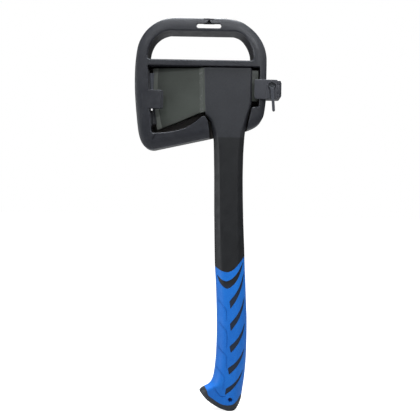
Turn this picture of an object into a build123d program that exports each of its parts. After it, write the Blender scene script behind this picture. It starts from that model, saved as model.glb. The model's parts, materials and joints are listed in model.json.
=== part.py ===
from build123d import *
import os
from math import cos, radians, sin, sqrt

os.makedirs("parts", exist_ok=True)

# Frame: +Z up the handle, blade towards -X, poll towards +X, front face towards -Y.
# The origin is the centre of the lanyard hole, on the middle plane of the tool.

# ---- head ----
EDGE_TOP, EDGE_MID, EDGE_HEEL = (-106.0, 423.5), (-107.0, 400.0), (-99.5, 344.0)
HEAD_TOP = 423.5
EDGE_HALF = 0.25          # half thickness left at the cutting edge
BEVEL_LEN, BEVEL_HALF = 6.5, 1.9
CHEEK_END, CHEEK_HALF = 57.0, 8.6      # distance behind the edge, half thickness there
SHOULDER_END, SHOULDER_HALF = 66.0, 12.4
JOINT_TOP_X = -41.4       # line where the bare blade meets the housing
JOINT_LOW = (-39.1, 367.8)
TANG_HALF = 8.0
TANG_X0, TANG_X1, TANG_BOTTOM, TANG_TOP = -44.0, 22.0, 384.0, 418.5
POLL_X0, POLL_X, POLL_BOTTOM, POLL_TOP, POLL_HALF = 20.0, 29.4, 381.9, 421.8, 9.5
POLL_CHAMFER = 1.6
KEY_R = 5.0               # holes of the tang, filled by the housing
KEY_PLACES = ((-27.0, 400.0), (4.0, 400.0))

# ---- handle ----
HOUSING_TOP = 424.4
SKIN = 3.0                # thickness of the soft grip
RIB_RECESS = 0.5          # ribs of the core stay this far under the grip's surface
# height, left edge, right edge, thickness, corner radius of each shaft section
STATIONS = [
    (352.0, -30.6, 14.7, 26.4, 7.5),
    (337.0, -27.4, 12.7, 26.0, 8.0),
    (310.0, -26.2, 11.5, 25.0, 8.5),
    (264.0, -25.0, 11.8, 24.4, 8.5),
    (218.0, -24.0, 13.7, 24.8, 8.8),
    (173.0, -22.6, 15.8, 26.0, 9.6),
    (127.0, -19.9, 18.6, 28.0, 10.5),
    (82.0, -18.8, 20.2, 29.0, 11.0),
    (52.0, -19.7, 19.9, 28.6, 11.0),
    (34.0, -21.4, 18.5, 28.0, 11.0),
]
# the same for the hooked butt, with straight sides between sections
BUTT_STATIONS = [
    (34.0, -21.4, 18.5, 28.0, 11.0),
    (24.0, -23.8, 17.6, 28.0, 11.0),
    (18.2, -28.0, 16.9, 27.4, 10.6),
    (14.6, -33.8, 16.2, 26.4, 10.0),
    (11.8, -38.4, 15.8, 25.2, 9.4),
    (8.4, -39.9, 15.2, 24.6, 9.0),
    (-20.0, -40.2, 11.0, 24.0, 9.0),
]
UNDERSIDE = [
    (-44.0, 14.0), (-38.6, 8.2), (-30.0, -0.5), (-21.0, -6.8), (-11.3, -11.7), (-1.0, -14.4),
    (6.4, -12.6), (10.6, -7.4), (13.2, -1.6), (20.0, 12.0),
]
HOUSING_STATIONS = [
    (HOUSING_TOP, -41.4, 20.9, 27.0, 3.0),
    (379.0, -39.6, 20.8, 27.0, 3.0),
    (371.0, -39.2, 18.9, 27.0, 3.4),
    (367.6, -38.9, 17.7, 27.0, 4.0),
    (363.6, -37.0, 16.9, 26.8, 5.0),
    (359.6, -33.7, 16.1, 26.6, 6.0),
    (355.6, -31.6, 15.4, 26.5, 7.0),
    (352.0, -30.6, 14.7, 26.4, 7.5),
]
HOLLOW_TOP, HOLLOW_BOTTOM, HOLLOW_INSET = 337.0, 34.0, 7.0

# ---- lanyard hole ----
LANYARD_R = 2.6
LINING_R = 4.8

# ---- butt cap spigot ----
SPIGOT_X0, SPIGOT_X1, SPIGOT_HALF, SPIGOT_TOP = -17.0, -9.0, 5.0, 16.0
SPIGOT_BOTTOM, SPIGOT_FIT = -7.5, 0.1

# ---- guard ----
DEPTH = 16.5              # half depth of the guard
FRONT = -DEPTH
FRONT_WALL = 3.2
BACK_WALL = 2.4
TRAY_TOP = 425.4
TAB_X0, TAB_X1, TAB_Z0, TAB_Z1, TAB_THICK = -116.0, -92.0, 369.7, 393.6, 3.6
TAB_CHAMFER = 1.2
PEEP_X0 = -111.2          # left side of the window behind the tab

# ---- tilt axis: a line along the cutting edge, just outside it ----
AXIS_X, AXIS_Z, AXIS_LEAN = -107.6, 384.0, 3.6
LINER_R = 3.0
LINER_HALF_LEN = 33.0
LINER_FIT = 0.06
LIP_X0, LIP_X1, LIP_HALF = 0.4, 5.0, 2.4    # measured outwards from the tilt axis
LIP_COVER = 1.3           # how much of the blade the lips cover
NECK_Z0, NECK_Z1 = 366.4, 394.8        # between these heights the liner is only its lips

# ---- latch ----
HINGE_X, HINGE_Y = 54.0, -16.7
KNUCKLE_R = 3.2
KNUCKLE_ROOM = 0.4
PIN_R = 1.5
PIN_FIT = 0.05
FLAP_X0, FLAP_Z0, FLAP_Z1, FLAP_THICK = 23.6, 383.8, 408.6, 3.3
FLAP_BACK = FRONT - 0.15
KNUCKLE_Z0, KNUCKLE_Z1 = 390.2, 402.2
LUG_Z0, LUG_Z1, LUG_X0, LUG_X = 386.4, 407.2, 34.0, 58.4
LUG_CORNER = 1.6
HUB_X, HUB_Z, HUB_R = 45.6, 400.0, 4.2
SHANK_R = 2.4
HUB_FIT = 0.06
HUB_SEAT, HUB_THICK = 1.3, 0.8
RING_R, RING_THICK = 4.4, 1.2
KEEPER_R, KEEPER_DEEP = 6.2, 2.6
KNUCKLE_GAP = 0.3
LUG_FACE = -12.2          # front of the lug beyond the hinge
NOSE_X1, NOSE_GAP = 28.4, 0.6
TAIL_X, TAIL_Z = 48.2, 367.6
TAIL_BACK, TAIL_THICK = 3.4, 2.6

# ---- hang slot ----
SLOT_X, SLOT_Z, SLOT_LEN, SLOT_HIGH = -35.4, 476.3, 33.0, 7.0
SLOT_PEAK, SLOT_RISE = 4.7, 9.0

# ---- rail around the liner, measured from the tilt axis ----
RAIL_BACK, RAIL_FACE, RAIL_FRONT = 7.0, 1.0, -9.0
RAIL_PAST = 3.0           # rail beyond each end of the liner


def side(y=0.0):
    """The tool's side plane: sketch x is X, sketch y is Z, and extruding goes towards -Y."""
    return Plane(origin=(0, y, 0), x_dir=(1, 0, 0), z_dir=(0, -1, 0))


def circle_through(a, b, c):
    """Centre and radius of the circle through three points."""
    (ax, ay), (bx, by), (cx, cy) = a, b, c
    d = 2 * (ax * (by - cy) + bx * (cy - ay) + cx * (ay - by))
    aa, bb, cc = ax * ax + ay * ay, bx * bx + by * by, cx * cx + cy * cy
    ux = (aa * (by - cy) + bb * (cy - ay) + cc * (ay - by)) / d
    uy = (aa * (cx - bx) + bb * (ax - cx) + cc * (bx - ax)) / d
    return ux, uy, sqrt((ax - ux) ** 2 + (ay - uy) ** 2)


def rounded_sections(stations, inset, z_low=-100, z_high=500):
    """Rounded sections between two heights, each one smaller by inset all round."""
    sections = []
    for z, left, right, thick, corner in stations:
        if z_low <= z <= z_high:
            with BuildSketch(Plane.XY.offset(z)) as section:
                with Locations(((left + right) / 2, 0)):
                    RectangleRounded(
                        right - left - 2 * inset, thick - 2 * inset, corner - inset
                    )
            sections.append(section.sketch)
    return sections


# Everything below this line is the butt cap.
CAP_LINE = [
    (-31.0, 30.0), (-30.2, 13.0), (-27.8, 5.4), (-21.6, 0.6), (-12.4, -5.1),
    (-3.7, -6.9), (3.7, -5.6), (8.6, -1.4), (13.0, 5.0), (26.0, 16.0),
]
# Everything above this line is bare handle, below it is grip.
COLLAR_LINE = [
    (-34.0, 178.0), (-22.4, 170.2), (-14.4, 165.0), (-6.2, 163.2), (1.6, 166.6), (8.4, 174.2),
    (15.8, 183.6), (24.0, 192.0),
]


def above(line, top):
    """Face above a smooth line of the side plane."""
    with BuildSketch(side()) as sk:
        with BuildLine():
            lower = Spline(*line)
            Polyline(lower @ 1, (40, top), (-60, top), (-60, line[0][1]), lower @ 0)
        make_face()
    return sk.sketch


above_cap = extrude(above(CAP_LINE, 500), 40, both=True)
above_collar = extrude(above(COLLAR_LINE, 500), 40, both=True)


# ---- the grip's windows: claw-shaped slots and a crescent ----
# lower end, left corner, tip, and how far the curve bows towards the lower right
SLOTS = [
    ((-1.6, 117.0), (-2.9, 126.0), (14.4, 161.0)),
    ((-0.6, 88.6), (-1.9, 97.4), (15.8, 131.0)),
    ((-0.2, 60.8), (-1.8, 68.6), (16.8, 97.6)),
    ((-2.0, 33.0), (-3.6, 40.6), (16.6, 65.6)),
    ((-6.6, 6.6), (-5.6, 14.4), (15.6, 38.4)),
]
SLOT_BOW = 3.4


def bowed(a, b, share, bow):
    """A point part of the way from a to b, pushed out to the lower right by bow."""
    dx, dz = b[0] - a[0], b[1] - a[1]
    length = sqrt(dx * dx + dz * dz)
    return (
        a[0] + dx * share + bow * dz / length,
        a[1] + dz * share - bow * dx / length,
    )


def windows():
    """Faces of the slots and the crescent."""
    with BuildSketch(side()) as sk:
        for low, corner, tip in SLOTS:
            with BuildLine():
                inner = Spline(corner, bowed(corner, tip, 0.45, SLOT_BOW * 0.75), tip)
                outer = Spline(low, bowed(low, tip, 0.4, SLOT_BOW), tip)
                Line(corner, low)
            make_face()
        with BuildLine():
            top = Spline((-19.6, 158.6), (-13.6, 153.2), (-7.0, 151.4), (1.0, 155.6), (13.4, 175.4))
            low = Spline(top @ 0, (-14.0, 147.6), (-6.4, 142.4), (2.6, 147.6), top @ 1)
        make_face()
    return sk.sketch


WINDOW_DEEP = 30.0
window_bars = extrude(windows(), WINDOW_DEEP, both=True)

above_underside = extrude(above(UNDERSIDE, 500), 40, both=True)

# ---- the tool's outside without its windows ----
with BuildPart() as outside:
    loft(rounded_sections(STATIONS, 0))
    loft(rounded_sections(BUTT_STATIONS, 0), ruled=True)
    add(above_underside, mode=Mode.INTERSECT)

# ---- core of the grip: the outside set in by the skin, with room for the hole's lining ----
with BuildPart() as core:
    loft(rounded_sections(STATIONS, SKIN, 0, 230))
    loft(rounded_sections(BUTT_STATIONS, SKIN), ruled=True)
    add(above_cap, mode=Mode.INTERSECT)
    with Locations(Plane.XZ):
        Cylinder(LINING_R, 60, mode=Mode.SUBTRACT)

# ---- ribs of the core that fill the grip's windows ----
with BuildPart() as ribs:
    loft(rounded_sections(STATIONS, RIB_RECESS))
    loft(rounded_sections(BUTT_STATIONS, RIB_RECESS), ruled=True)
    add(window_bars, mode=Mode.INTERSECT)
    add(above_cap, mode=Mode.INTERSECT)

# ---- head: wedge turned about the centre of the edge's arc, then cut to the side outline ----
arc_x, arc_z, arc_r = circle_through(EDGE_TOP, EDGE_MID, EDGE_HEEL)
edge_plane = Plane(origin=(arc_x, 0, arc_z), x_dir=(-1, 0, 0), z_dir=(0, 0, 1))
with BuildPart() as head:
    with BuildSketch(edge_plane):
        with BuildLine():
            half = [
                (arc_r, EDGE_HALF),
                (arc_r - BEVEL_LEN, BEVEL_HALF),
                (arc_r - CHEEK_END, CHEEK_HALF),
                (arc_r - SHOULDER_END, SHOULDER_HALF),
                (arc_r - SHOULDER_END - 6, SHOULDER_HALF),
            ]
            other = [(r, -y) for r, y in reversed(half)]
            Polyline(*half, *other, half[0])
        make_face()
    revolve(axis=Axis((arc_x, 0, arc_z), (0, 1, 0)))
    with BuildSketch(side(20)) as outline:
        with BuildLine():
            top = Line((-114, HEAD_TOP), (JOINT_TOP_X, HEAD_TOP))
            butt_joint = Line(top @ 1, JOINT_LOW)
            heel = Spline(butt_joint @ 1, (-45.0, 366.2), (-72.0, 354.8), EDGE_HEEL, (-114, 337.4))
            Line(heel @ 1, top @ 0)
        make_face()
    extrude(amount=40, mode=Mode.INTERSECT)
    with BuildSketch(side(TANG_HALF)):
        with Locations(((TANG_X0 + TANG_X1) / 2, (TANG_BOTTOM + TANG_TOP) / 2)):
            Rectangle(TANG_X1 - TANG_X0, TANG_TOP - TANG_BOTTOM)
    extrude(amount=2 * TANG_HALF)
    with BuildSketch(side(POLL_HALF)):
        with Locations(((POLL_X0 + POLL_X) / 2, (POLL_BOTTOM + POLL_TOP) / 2)):
            Rectangle(POLL_X - POLL_X0, POLL_TOP - POLL_BOTTOM)
    extrude(amount=2 * POLL_HALF)
    poll_edges = head.edges().filter_by(lambda e: e.center().X > POLL_X - 0.01)
    chamfer(poll_edges, POLL_CHAMFER)
    with Locations(Plane.XZ):
        with Locations(*KEY_PLACES):
            Cylinder(KEY_R, 60, mode=Mode.SUBTRACT)
head.part.label = "head"

# ---- handle ----
with BuildPart() as handle:
    add(outside.part)
    add(above_collar, mode=Mode.INTERSECT)
    add(core.part)
    loft(rounded_sections(HOUSING_STATIONS, 0), ruled=True)
    loft(
        rounded_sections(STATIONS, HOLLOW_INSET, HOLLOW_BOTTOM, HOLLOW_TOP), mode=Mode.SUBTRACT
    )
    add(ribs.part)
    add(head.part, mode=Mode.SUBTRACT)
    with BuildSketch(Plane.XY.offset(-20)):
        with Locations(((SPIGOT_X0 + SPIGOT_X1) / 2, 0)):
            Rectangle(SPIGOT_X1 - SPIGOT_X0, 2 * SPIGOT_HALF)
    extrude(amount=HOLLOW_BOTTOM + 22, mode=Mode.SUBTRACT)
handle.part.label = "handle"

# ---- grip ----
with BuildPart() as grip:
    add(outside.part)
    add(above_collar, mode=Mode.SUBTRACT)
    add(above_cap, mode=Mode.INTERSECT)
    add(core.part, mode=Mode.SUBTRACT)
    add(window_bars, mode=Mode.SUBTRACT)
    with Locations(Plane.XZ):
        Cylinder(LANYARD_R, 60, mode=Mode.SUBTRACT)
    with BuildSketch(Plane.XY.offset(-20)):
        with Locations(((SPIGOT_X0 + SPIGOT_X1) / 2, 0)):
            Rectangle(SPIGOT_X1 - SPIGOT_X0, 2 * SPIGOT_HALF)
    extrude(amount=20 + SPIGOT_TOP, mode=Mode.SUBTRACT)
grip.part.label = "grip"

# ---- butt cap ----
with BuildPart() as butt_cap:
    add(outside.part)
    add(above_cap, mode=Mode.SUBTRACT)
    with BuildSketch(Plane.XY.offset(SPIGOT_BOTTOM)):
        with Locations(((SPIGOT_X0 + SPIGOT_X1) / 2, 0)):
            Rectangle(SPIGOT_X1 - SPIGOT_X0 - 2 * SPIGOT_FIT, 2 * (SPIGOT_HALF - SPIGOT_FIT))
    extrude(amount=SPIGOT_TOP - SPIGOT_BOTTOM)
butt_cap.part.label = "butt_cap"

# ---- edge liner ----
lean = radians(AXIS_LEAN)
axis_plane = Plane(
    origin=(AXIS_X, 0, AXIS_Z), x_dir=(cos(lean), 0, sin(lean)), z_dir=(-sin(lean), 0, cos(lean))
)
with BuildPart() as edge_liner:
    # round rod, open in the middle where the window behind the tab is
    with BuildSketch(axis_plane.offset(-LINER_HALF_LEN)):
        Circle(LINER_R)
    extrude(amount=2 * LINER_HALF_LEN)
    with BuildSketch(side(LINER_R + 1)):
        with Locations((AXIS_X, (NECK_Z0 + NECK_Z1) / 2)):
            Rectangle(4 * LINER_R, NECK_Z1 - NECK_Z0)
    extrude(amount=2 * LINER_R + 2, mode=Mode.SUBTRACT)
    # lips that hold the cutting edge along the whole length
    with BuildSketch(axis_plane.offset(-LINER_HALF_LEN)):
        with Locations(((LIP_X0 + LIP_X1) / 2, 0)):
            Rectangle(LIP_X1 - LIP_X0, 2 * LIP_HALF)
    extrude(amount=2 * LINER_HALF_LEN)
    with BuildSketch(side(LINER_R + 1)):
        with Locations((arc_x, arc_z)):
            Circle(arc_r - LIP_COVER)
    extrude(amount=2 * LINER_R + 2, mode=Mode.SUBTRACT)
    add(head.part, mode=Mode.SUBTRACT)
edge_liner.part.label = "edge_liner"

# ---- guard frame ----
with BuildSketch(side()) as guard_outline:
    with BuildLine():
        left = Spline(
            (-122.2, 336.0), (-125.9, 362.0), (-128.8, 400.0), (-128.0, 433.0), (-124.2, 454.0),
            (-115.2, 469.4), (-103.0, 479.6), (-91.0, 485.0), (-79.0, 486.8),
            tangents=[(-0.15, 1.0), (1.0, 0.0)],
        )
        top = Line(left @ 1, (-14.0, 486.8))
        right = Spline(
            top @ 1, (5.5, 482.6), (21.2, 472.0), (29.9, 462.0), (35.4, 452.0), (39.1, 432.0),
            tangents=[(1.0, 0.0), (0.0, -1.0)],
        )
        side_line = Line(right @ 1, (39.1, 392.0))
        corner = Spline(
            side_line @ 1, (38.2, 376.0), (35.6, 361.4), (26.4, 350.4), (12.2, 344.2),
            tangents=[(0.0, -1.0), (-1.0, -0.22)],
        )
        under = Line(corner @ 1, (-104.0, 317.9))
        Spline(
            under @ 1, (-113.8, 321.0), (-118.8, 327.0), left @ 0,
            tangents=[(-1.0, -0.2), (-0.15, 1.0)],
        )
    make_face()

with BuildSketch(side()) as carry_opening:
    with BuildLine():
        low = Line((-109.4, 433.0), (18.6, 433.0))
        a = ThreePointArc(low @ 1, (21.4, 434.2), (22.4, 437.0))
        b = ThreePointArc(a @ 1, (17.2, 456.4), (2.0, 469.6))
        c = Line(b @ 1, (-87.0, 469.6))
        d = ThreePointArc(c @ 1, (-104.6, 459.6), (-112.8, 436.6))
        ThreePointArc(d @ 1, (-111.8, 434.0), low @ 0)
    make_face()

with BuildSketch(side()) as window:
    with BuildLine():
        a = Polyline((-31.4, 325.0), (14.0, 325.0), (14.9, 342.0), (16.6, 352.0), (21.0, 373.0))
        b = Polyline(a @ 1, (29.6, 374.4), (30.2, 379.0), (30.8, TRAY_TOP), (-112.6, TRAY_TOP))
        c = Polyline(b @ 1, (-108.8, 366.0), (-106.6, 341.4))
        d = ThreePointArc(c @ 1, (-105.8, 339.4), (-104.0, 338.6))
        e = Spline(
            d @ 1, (-81.0, 341.0), (-62.0, 346.4), (-49.5, 354.8), (-42.4, 360.6), (-38.4, 360.4),
            (-35.0, 354.8), (-32.8, 340.0), a @ 0
        )
    make_face()

# hollows of the rails: the carry handle with both side rails, the lower rail, the lug's foot
with BuildSketch(side(DEPTH + 1)) as rail_hollows:
    with BuildLine():
        outer = Spline(
            (-119.4, 340.0), (-122.9, 362.0), (-125.8, 400.0), (-125.0, 433.0), (-121.4, 452.6),
            (-112.9, 467.0), (-101.6, 476.8), (-90.2, 482.0), (-79.0, 483.8),
            tangents=[(-0.15, 1.0), (1.0, 0.0)],
        )
        over = Line(outer @ 1, (-14.0, 483.8))
        shoulder = Spline(
            over @ 1, (4.3, 479.9), (19.2, 469.8), (27.6, 459.9), (32.6, 450.6), (36.1, 432.0),
            tangents=[(1.0, 0.0), (0.0, -1.0)],
        )
        foot = Polyline(shoulder @ 1, (36.1, 410.4), (33.8, 410.4), (33.8, 424.0), (25.4, 437.0))
        arch = ThreePointArc(foot @ 1, (19.6, 458.4), (2.0, 472.6))
        under_bar = Line(arch @ 1, (-87.0, 472.6))
        arch_2 = ThreePointArc(under_bar @ 1, (-106.9, 461.6), (-115.8, 436.6))
        Polyline(arch_2 @ 1, (-115.6, 424.0), (-111.8, 366.0), (-109.8, 342.0), outer @ 0)
    make_face()
    with BuildLine():
        crest = Spline((-105.0, 335.2), (-81.0, 337.8), (-62.0, 343.2), (-48.0, 351.4), (-41.6, 357.0))
        end = Polyline(crest @ 1, (-38.0, 352.4), (-36.2, 336.4), (-103.6, 321.1))
        turn = Spline(end @ 1, (-111.0, 323.4), (-115.4, 328.6), (-117.4, 334.4))
        Line(turn @ 1, crest @ 0)
    make_face()
    with BuildLine():
        Polyline(
            (19.4, 352.6), (23.6, 370.0), (33.0, 371.4), (33.4, 383.0), (36.0, 383.0),
            (35.2, 376.4), (32.8, 363.4), (25.0, 353.4), close=True
        )
    make_face()
    with Locations(((-104.0 + 18.0) / 2, 429.4)):
        RectangleRounded(122.0, 2.8, 1.3)

with BuildPart() as guard_frame:
    extrude(guard_outline.sketch, amount=DEPTH, both=True)
    with BuildSketch(side(DEPTH)):
        with Locations(((LUG_X0 + LUG_X) / 2, (LUG_Z0 + LUG_Z1) / 2)):
            RectangleRounded(LUG_X - LUG_X0, LUG_Z1 - LUG_Z0, LUG_CORNER)
    extrude(amount=2 * DEPTH)
    extrude(carry_opening.sketch, amount=DEPTH + 1, both=True, mode=Mode.SUBTRACT)
    # tray from the front down to the back wall
    with BuildSketch(side(DEPTH - BACK_WALL)):
        add(window.sketch)
    extrude(amount=2 * DEPTH, mode=Mode.SUBTRACT)
    # blade tab, and the window in the back wall behind it
    with BuildSketch(side(FRONT + TAB_THICK)):
        with Locations(((TAB_X0 + TAB_X1) / 2, (TAB_Z0 + TAB_Z1) / 2)):
            Rectangle(TAB_X1 - TAB_X0, TAB_Z1 - TAB_Z0)
    extrude(amount=TAB_THICK)
    tab_edge = guard_frame.edges().filter_by(
        lambda e: abs(e.center().X - TAB_X1) < 0.1 and abs(e.center().Y - FRONT) < 0.1
    )
    chamfer(tab_edge, TAB_CHAMFER)
    with BuildSketch(side(DEPTH + 1)):
        with Locations(((PEEP_X0 + TAB_X1) / 2, (TAB_Z0 + TAB_Z1) / 2)):
            Rectangle(TAB_X1 - PEEP_X0, TAB_Z1 - TAB_Z0)
    extrude(amount=BACK_WALL + 2, mode=Mode.SUBTRACT)
    # rail that the edge liner turns in, in two parts with the tab between them
    for low, high in (
        (-LINER_HALF_LEN - RAIL_PAST, NECK_Z0 - AXIS_Z),
        (NECK_Z1 - AXIS_Z, LINER_HALF_LEN + RAIL_PAST),
    ):
        with BuildSketch(axis_plane.offset(low)):
            with Locations((-(RAIL_BACK + RAIL_FACE) / 2, (DEPTH - BACK_WALL + RAIL_FRONT) / 2)):
                Rectangle(RAIL_BACK - RAIL_FACE, DEPTH - BACK_WALL - RAIL_FRONT)
        extrude(amount=high - low)
    with BuildSketch(axis_plane.offset(-LINER_HALF_LEN - 4)):
        Circle(LINER_R + LINER_FIT)
    extrude(amount=2 * LINER_HALF_LEN + 8, mode=Mode.SUBTRACT)
    # hollow rails, open at the back
    extrude(rail_hollows.sketch, amount=2 * DEPTH + 1 - FRONT_WALL, mode=Mode.SUBTRACT)
    # hang slot with its peak
    with BuildSketch(side(DEPTH + 1)):
        with Locations((SLOT_X, SLOT_Z)):
            RectangleRounded(SLOT_LEN, SLOT_HIGH, 2.6)
        with BuildLine():
            Polyline(
                (SLOT_X - SLOT_PEAK, SLOT_Z + 2), (SLOT_X + SLOT_PEAK, SLOT_Z + 2),
                (SLOT_X + 0.8, SLOT_Z + SLOT_RISE), (SLOT_X - 0.8, SLOT_Z + SLOT_RISE), close=True
            )
        make_face()
    extrude(amount=2 * DEPTH + 2, mode=Mode.SUBTRACT)
    # lug cut back beyond the hinge, then the two fixed knuckles
    with BuildSketch(Plane.XY.offset(LUG_Z0 - 1)):
        with Locations((HINGE_X + 4, HINGE_Y + 1)):
            Rectangle(8.0, 2 * (LUG_FACE - HINGE_Y - 1))
    extrude(amount=LUG_Z1 - LUG_Z0 + 2, mode=Mode.SUBTRACT)
    for z0, z1 in ((LUG_Z0, KNUCKLE_Z0 - KNUCKLE_GAP), (KNUCKLE_Z1 + KNUCKLE_GAP, LUG_Z1)):
        with BuildSketch(Plane.XY.offset(z0)):
            with Locations((HINGE_X, HINGE_Y)):
                Circle(KNUCKLE_R)
            with Locations((HINGE_X - 0.6, (HINGE_Y + LUG_FACE + 1) / 2)):
                Rectangle(5.0, LUG_FACE + 1 - HINGE_Y)
        extrude(amount=z1 - z0)
    # room for the flap's knuckle
    with BuildSketch(Plane.XY.offset(KNUCKLE_Z0 - KNUCKLE_GAP)):
        with Locations((HINGE_X, HINGE_Y)):
            Circle(KNUCKLE_R + KNUCKLE_ROOM)
    extrude(amount=KNUCKLE_Z1 - KNUCKLE_Z0 + 2 * KNUCKLE_GAP, mode=Mode.SUBTRACT)
    with BuildSketch(Plane.XY.offset(LUG_Z0 - 1)):
        with Locations((HINGE_X, HINGE_Y)):
            Circle(PIN_R)
    extrude(amount=LUG_Z1 - LUG_Z0 + 2, mode=Mode.SUBTRACT)
    # pocket for the lever's ring
    with BuildSketch(side(FRONT + KEEPER_DEEP)):
        with Locations((HUB_X, HUB_Z)):
            Circle(KEEPER_R)
    extrude(amount=KEEPER_DEEP + 1, mode=Mode.SUBTRACT)
guard_frame.part.label = "guard_frame"

# ---- hinge pin ----
with BuildPart() as hinge_pin:
    with BuildSketch(Plane.XY.offset(LUG_Z0 + 0.3)):
        with Locations((HINGE_X, HINGE_Y)):
            Circle(PIN_R)
    extrude(amount=LUG_Z1 - LUG_Z0 - 0.6)
    chamfer(hinge_pin.edges().filter_by(GeomType.CIRCLE), 0.3)
hinge_pin.part.label = "hinge_pin"

# ---- latch flap ----
flap_edge = HINGE_X - KNUCKLE_R - KNUCKLE_ROOM
with BuildPart() as latch_flap:
    with BuildSketch(side(FLAP_BACK)):
        with BuildLine():
            Polyline(
                (FLAP_X0, FLAP_Z0), (flap_edge, FLAP_Z0),
                (flap_edge, KNUCKLE_Z0), (HINGE_X, KNUCKLE_Z0),
                (HINGE_X, KNUCKLE_Z1), (flap_edge, KNUCKLE_Z1),
                (flap_edge, FLAP_Z1), (FLAP_X0, FLAP_Z1), close=True
            )
        make_face()
    extrude(amount=FLAP_THICK)
    left_corners = latch_flap.edges().filter_by(Axis.Y).filter_by(
        lambda e: abs(e.center().X - FLAP_X0) < 0.01
    )
    fillet(left_corners, 3.0)
    with BuildSketch(Plane.XY.offset(KNUCKLE_Z0)):
        with Locations((HINGE_X, HINGE_Y)):
            Circle(KNUCKLE_R)
    extrude(amount=KNUCKLE_Z1 - KNUCKLE_Z0)
    # nose that reaches in to the poll
    with BuildSketch(side(-POLL_HALF - NOSE_GAP)):
        with Locations(((FLAP_X0 + 0.6 + NOSE_X1) / 2, (FLAP_Z0 + FLAP_Z1) / 2)):
            RectangleRounded(NOSE_X1 - FLAP_X0 - 0.6, FLAP_Z1 - FLAP_Z0 - 5, 1.0)
    extrude(amount=-FLAP_BACK - POLL_HALF - NOSE_GAP + 0.5)
    with BuildSketch(Plane.XY.offset(KNUCKLE_Z0 - 1)):
        with Locations((HINGE_X, HINGE_Y)):
            Circle(PIN_R + PIN_FIT)
    extrude(amount=KNUCKLE_Z1 - KNUCKLE_Z0 + 2, mode=Mode.SUBTRACT)
    # stepped hole for the lever's hub and shank
    with BuildSketch(side(FLAP_BACK + 1)):
        with Locations((HUB_X, HUB_Z)):
            Circle(SHANK_R + HUB_FIT)
    extrude(amount=FLAP_THICK + 2, mode=Mode.SUBTRACT)
    with BuildSketch(side(FLAP_BACK - HUB_SEAT)):
        with Locations((HUB_X, HUB_Z)):
            Circle(HUB_R + HUB_FIT)
    extrude(amount=FLAP_THICK, mode=Mode.SUBTRACT)
latch_flap.part.label = "latch_flap"

# ---- lock lever ----
hub_back = FLAP_BACK - HUB_SEAT - 0.05
with BuildPart() as lock_lever:
    with BuildSketch(side(FLAP_BACK + RING_THICK + 0.25)):
        with Locations((HUB_X, HUB_Z)):
            Circle(SHANK_R)
    extrude(amount=RING_THICK + 0.25 + HUB_SEAT + 0.5)
    with BuildSketch(side(hub_back)):
        with Locations((HUB_X, HUB_Z)):
            Circle(HUB_R)
    extrude(amount=HUB_THICK)
    # forked root that rises from the hub, then the hanging tail
    with BuildSketch(side(hub_back)):
        with BuildLine():
            Polyline(
                (HUB_X - 2.9, HUB_Z + 1.6), (HUB_X - 1.9, HUB_Z - 3.0),
                (HUB_X + 2.3, HUB_Z - 3.0), (HUB_X + 2.9, HUB_Z + 1.6), close=True
            )
        make_face()
        with Locations((HUB_X, HUB_Z + 1.9)):
            Circle(1.5, mode=Mode.SUBTRACT)
    extrude(amount=TAIL_BACK + TAIL_THICK)
    with BuildSketch(side(hub_back - TAIL_BACK)):
        with BuildLine():
            left = Line((HUB_X - 1.9, HUB_Z - 2.4), (TAIL_X - 1.6, TAIL_Z))
            tip = ThreePointArc(left @ 1, (TAIL_X + 0.1, TAIL_Z - 0.9), (TAIL_X + 1.6, TAIL_Z))
            Polyline(tip @ 1, (HUB_X + 2.3, HUB_Z - 2.4), left @ 0)
        make_face()
    extrude(amount=TAIL_THICK)
lock_lever.part.label = "lock_lever"

# ---- retaining ring ----
with BuildPart() as retaining_ring:
    with BuildSketch(side(FLAP_BACK + RING_THICK + 0.05)):
        with Locations((HUB_X, HUB_Z)):
            Circle(RING_R)
            Circle(SHANK_R, mode=Mode.SUBTRACT)
    extrude(amount=RING_THICK)
retaining_ring.part.label = "retaining_ring"

export_step(head.part, "parts/head.step")
export_step(handle.part, "parts/handle.step")
export_step(grip.part, "parts/grip.step")
export_step(butt_cap.part, "parts/butt_cap.step")
export_step(edge_liner.part, "parts/edge_liner.step")
export_step(guard_frame.part, "parts/guard_frame.step")
export_step(hinge_pin.part, "parts/hinge_pin.step")
export_step(latch_flap.part, "parts/latch_flap.step")
export_step(lock_lever.part, "parts/lock_lever.step")
export_step(retaining_ring.part, "parts/retaining_ring.step")
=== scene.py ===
import json
import math

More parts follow.
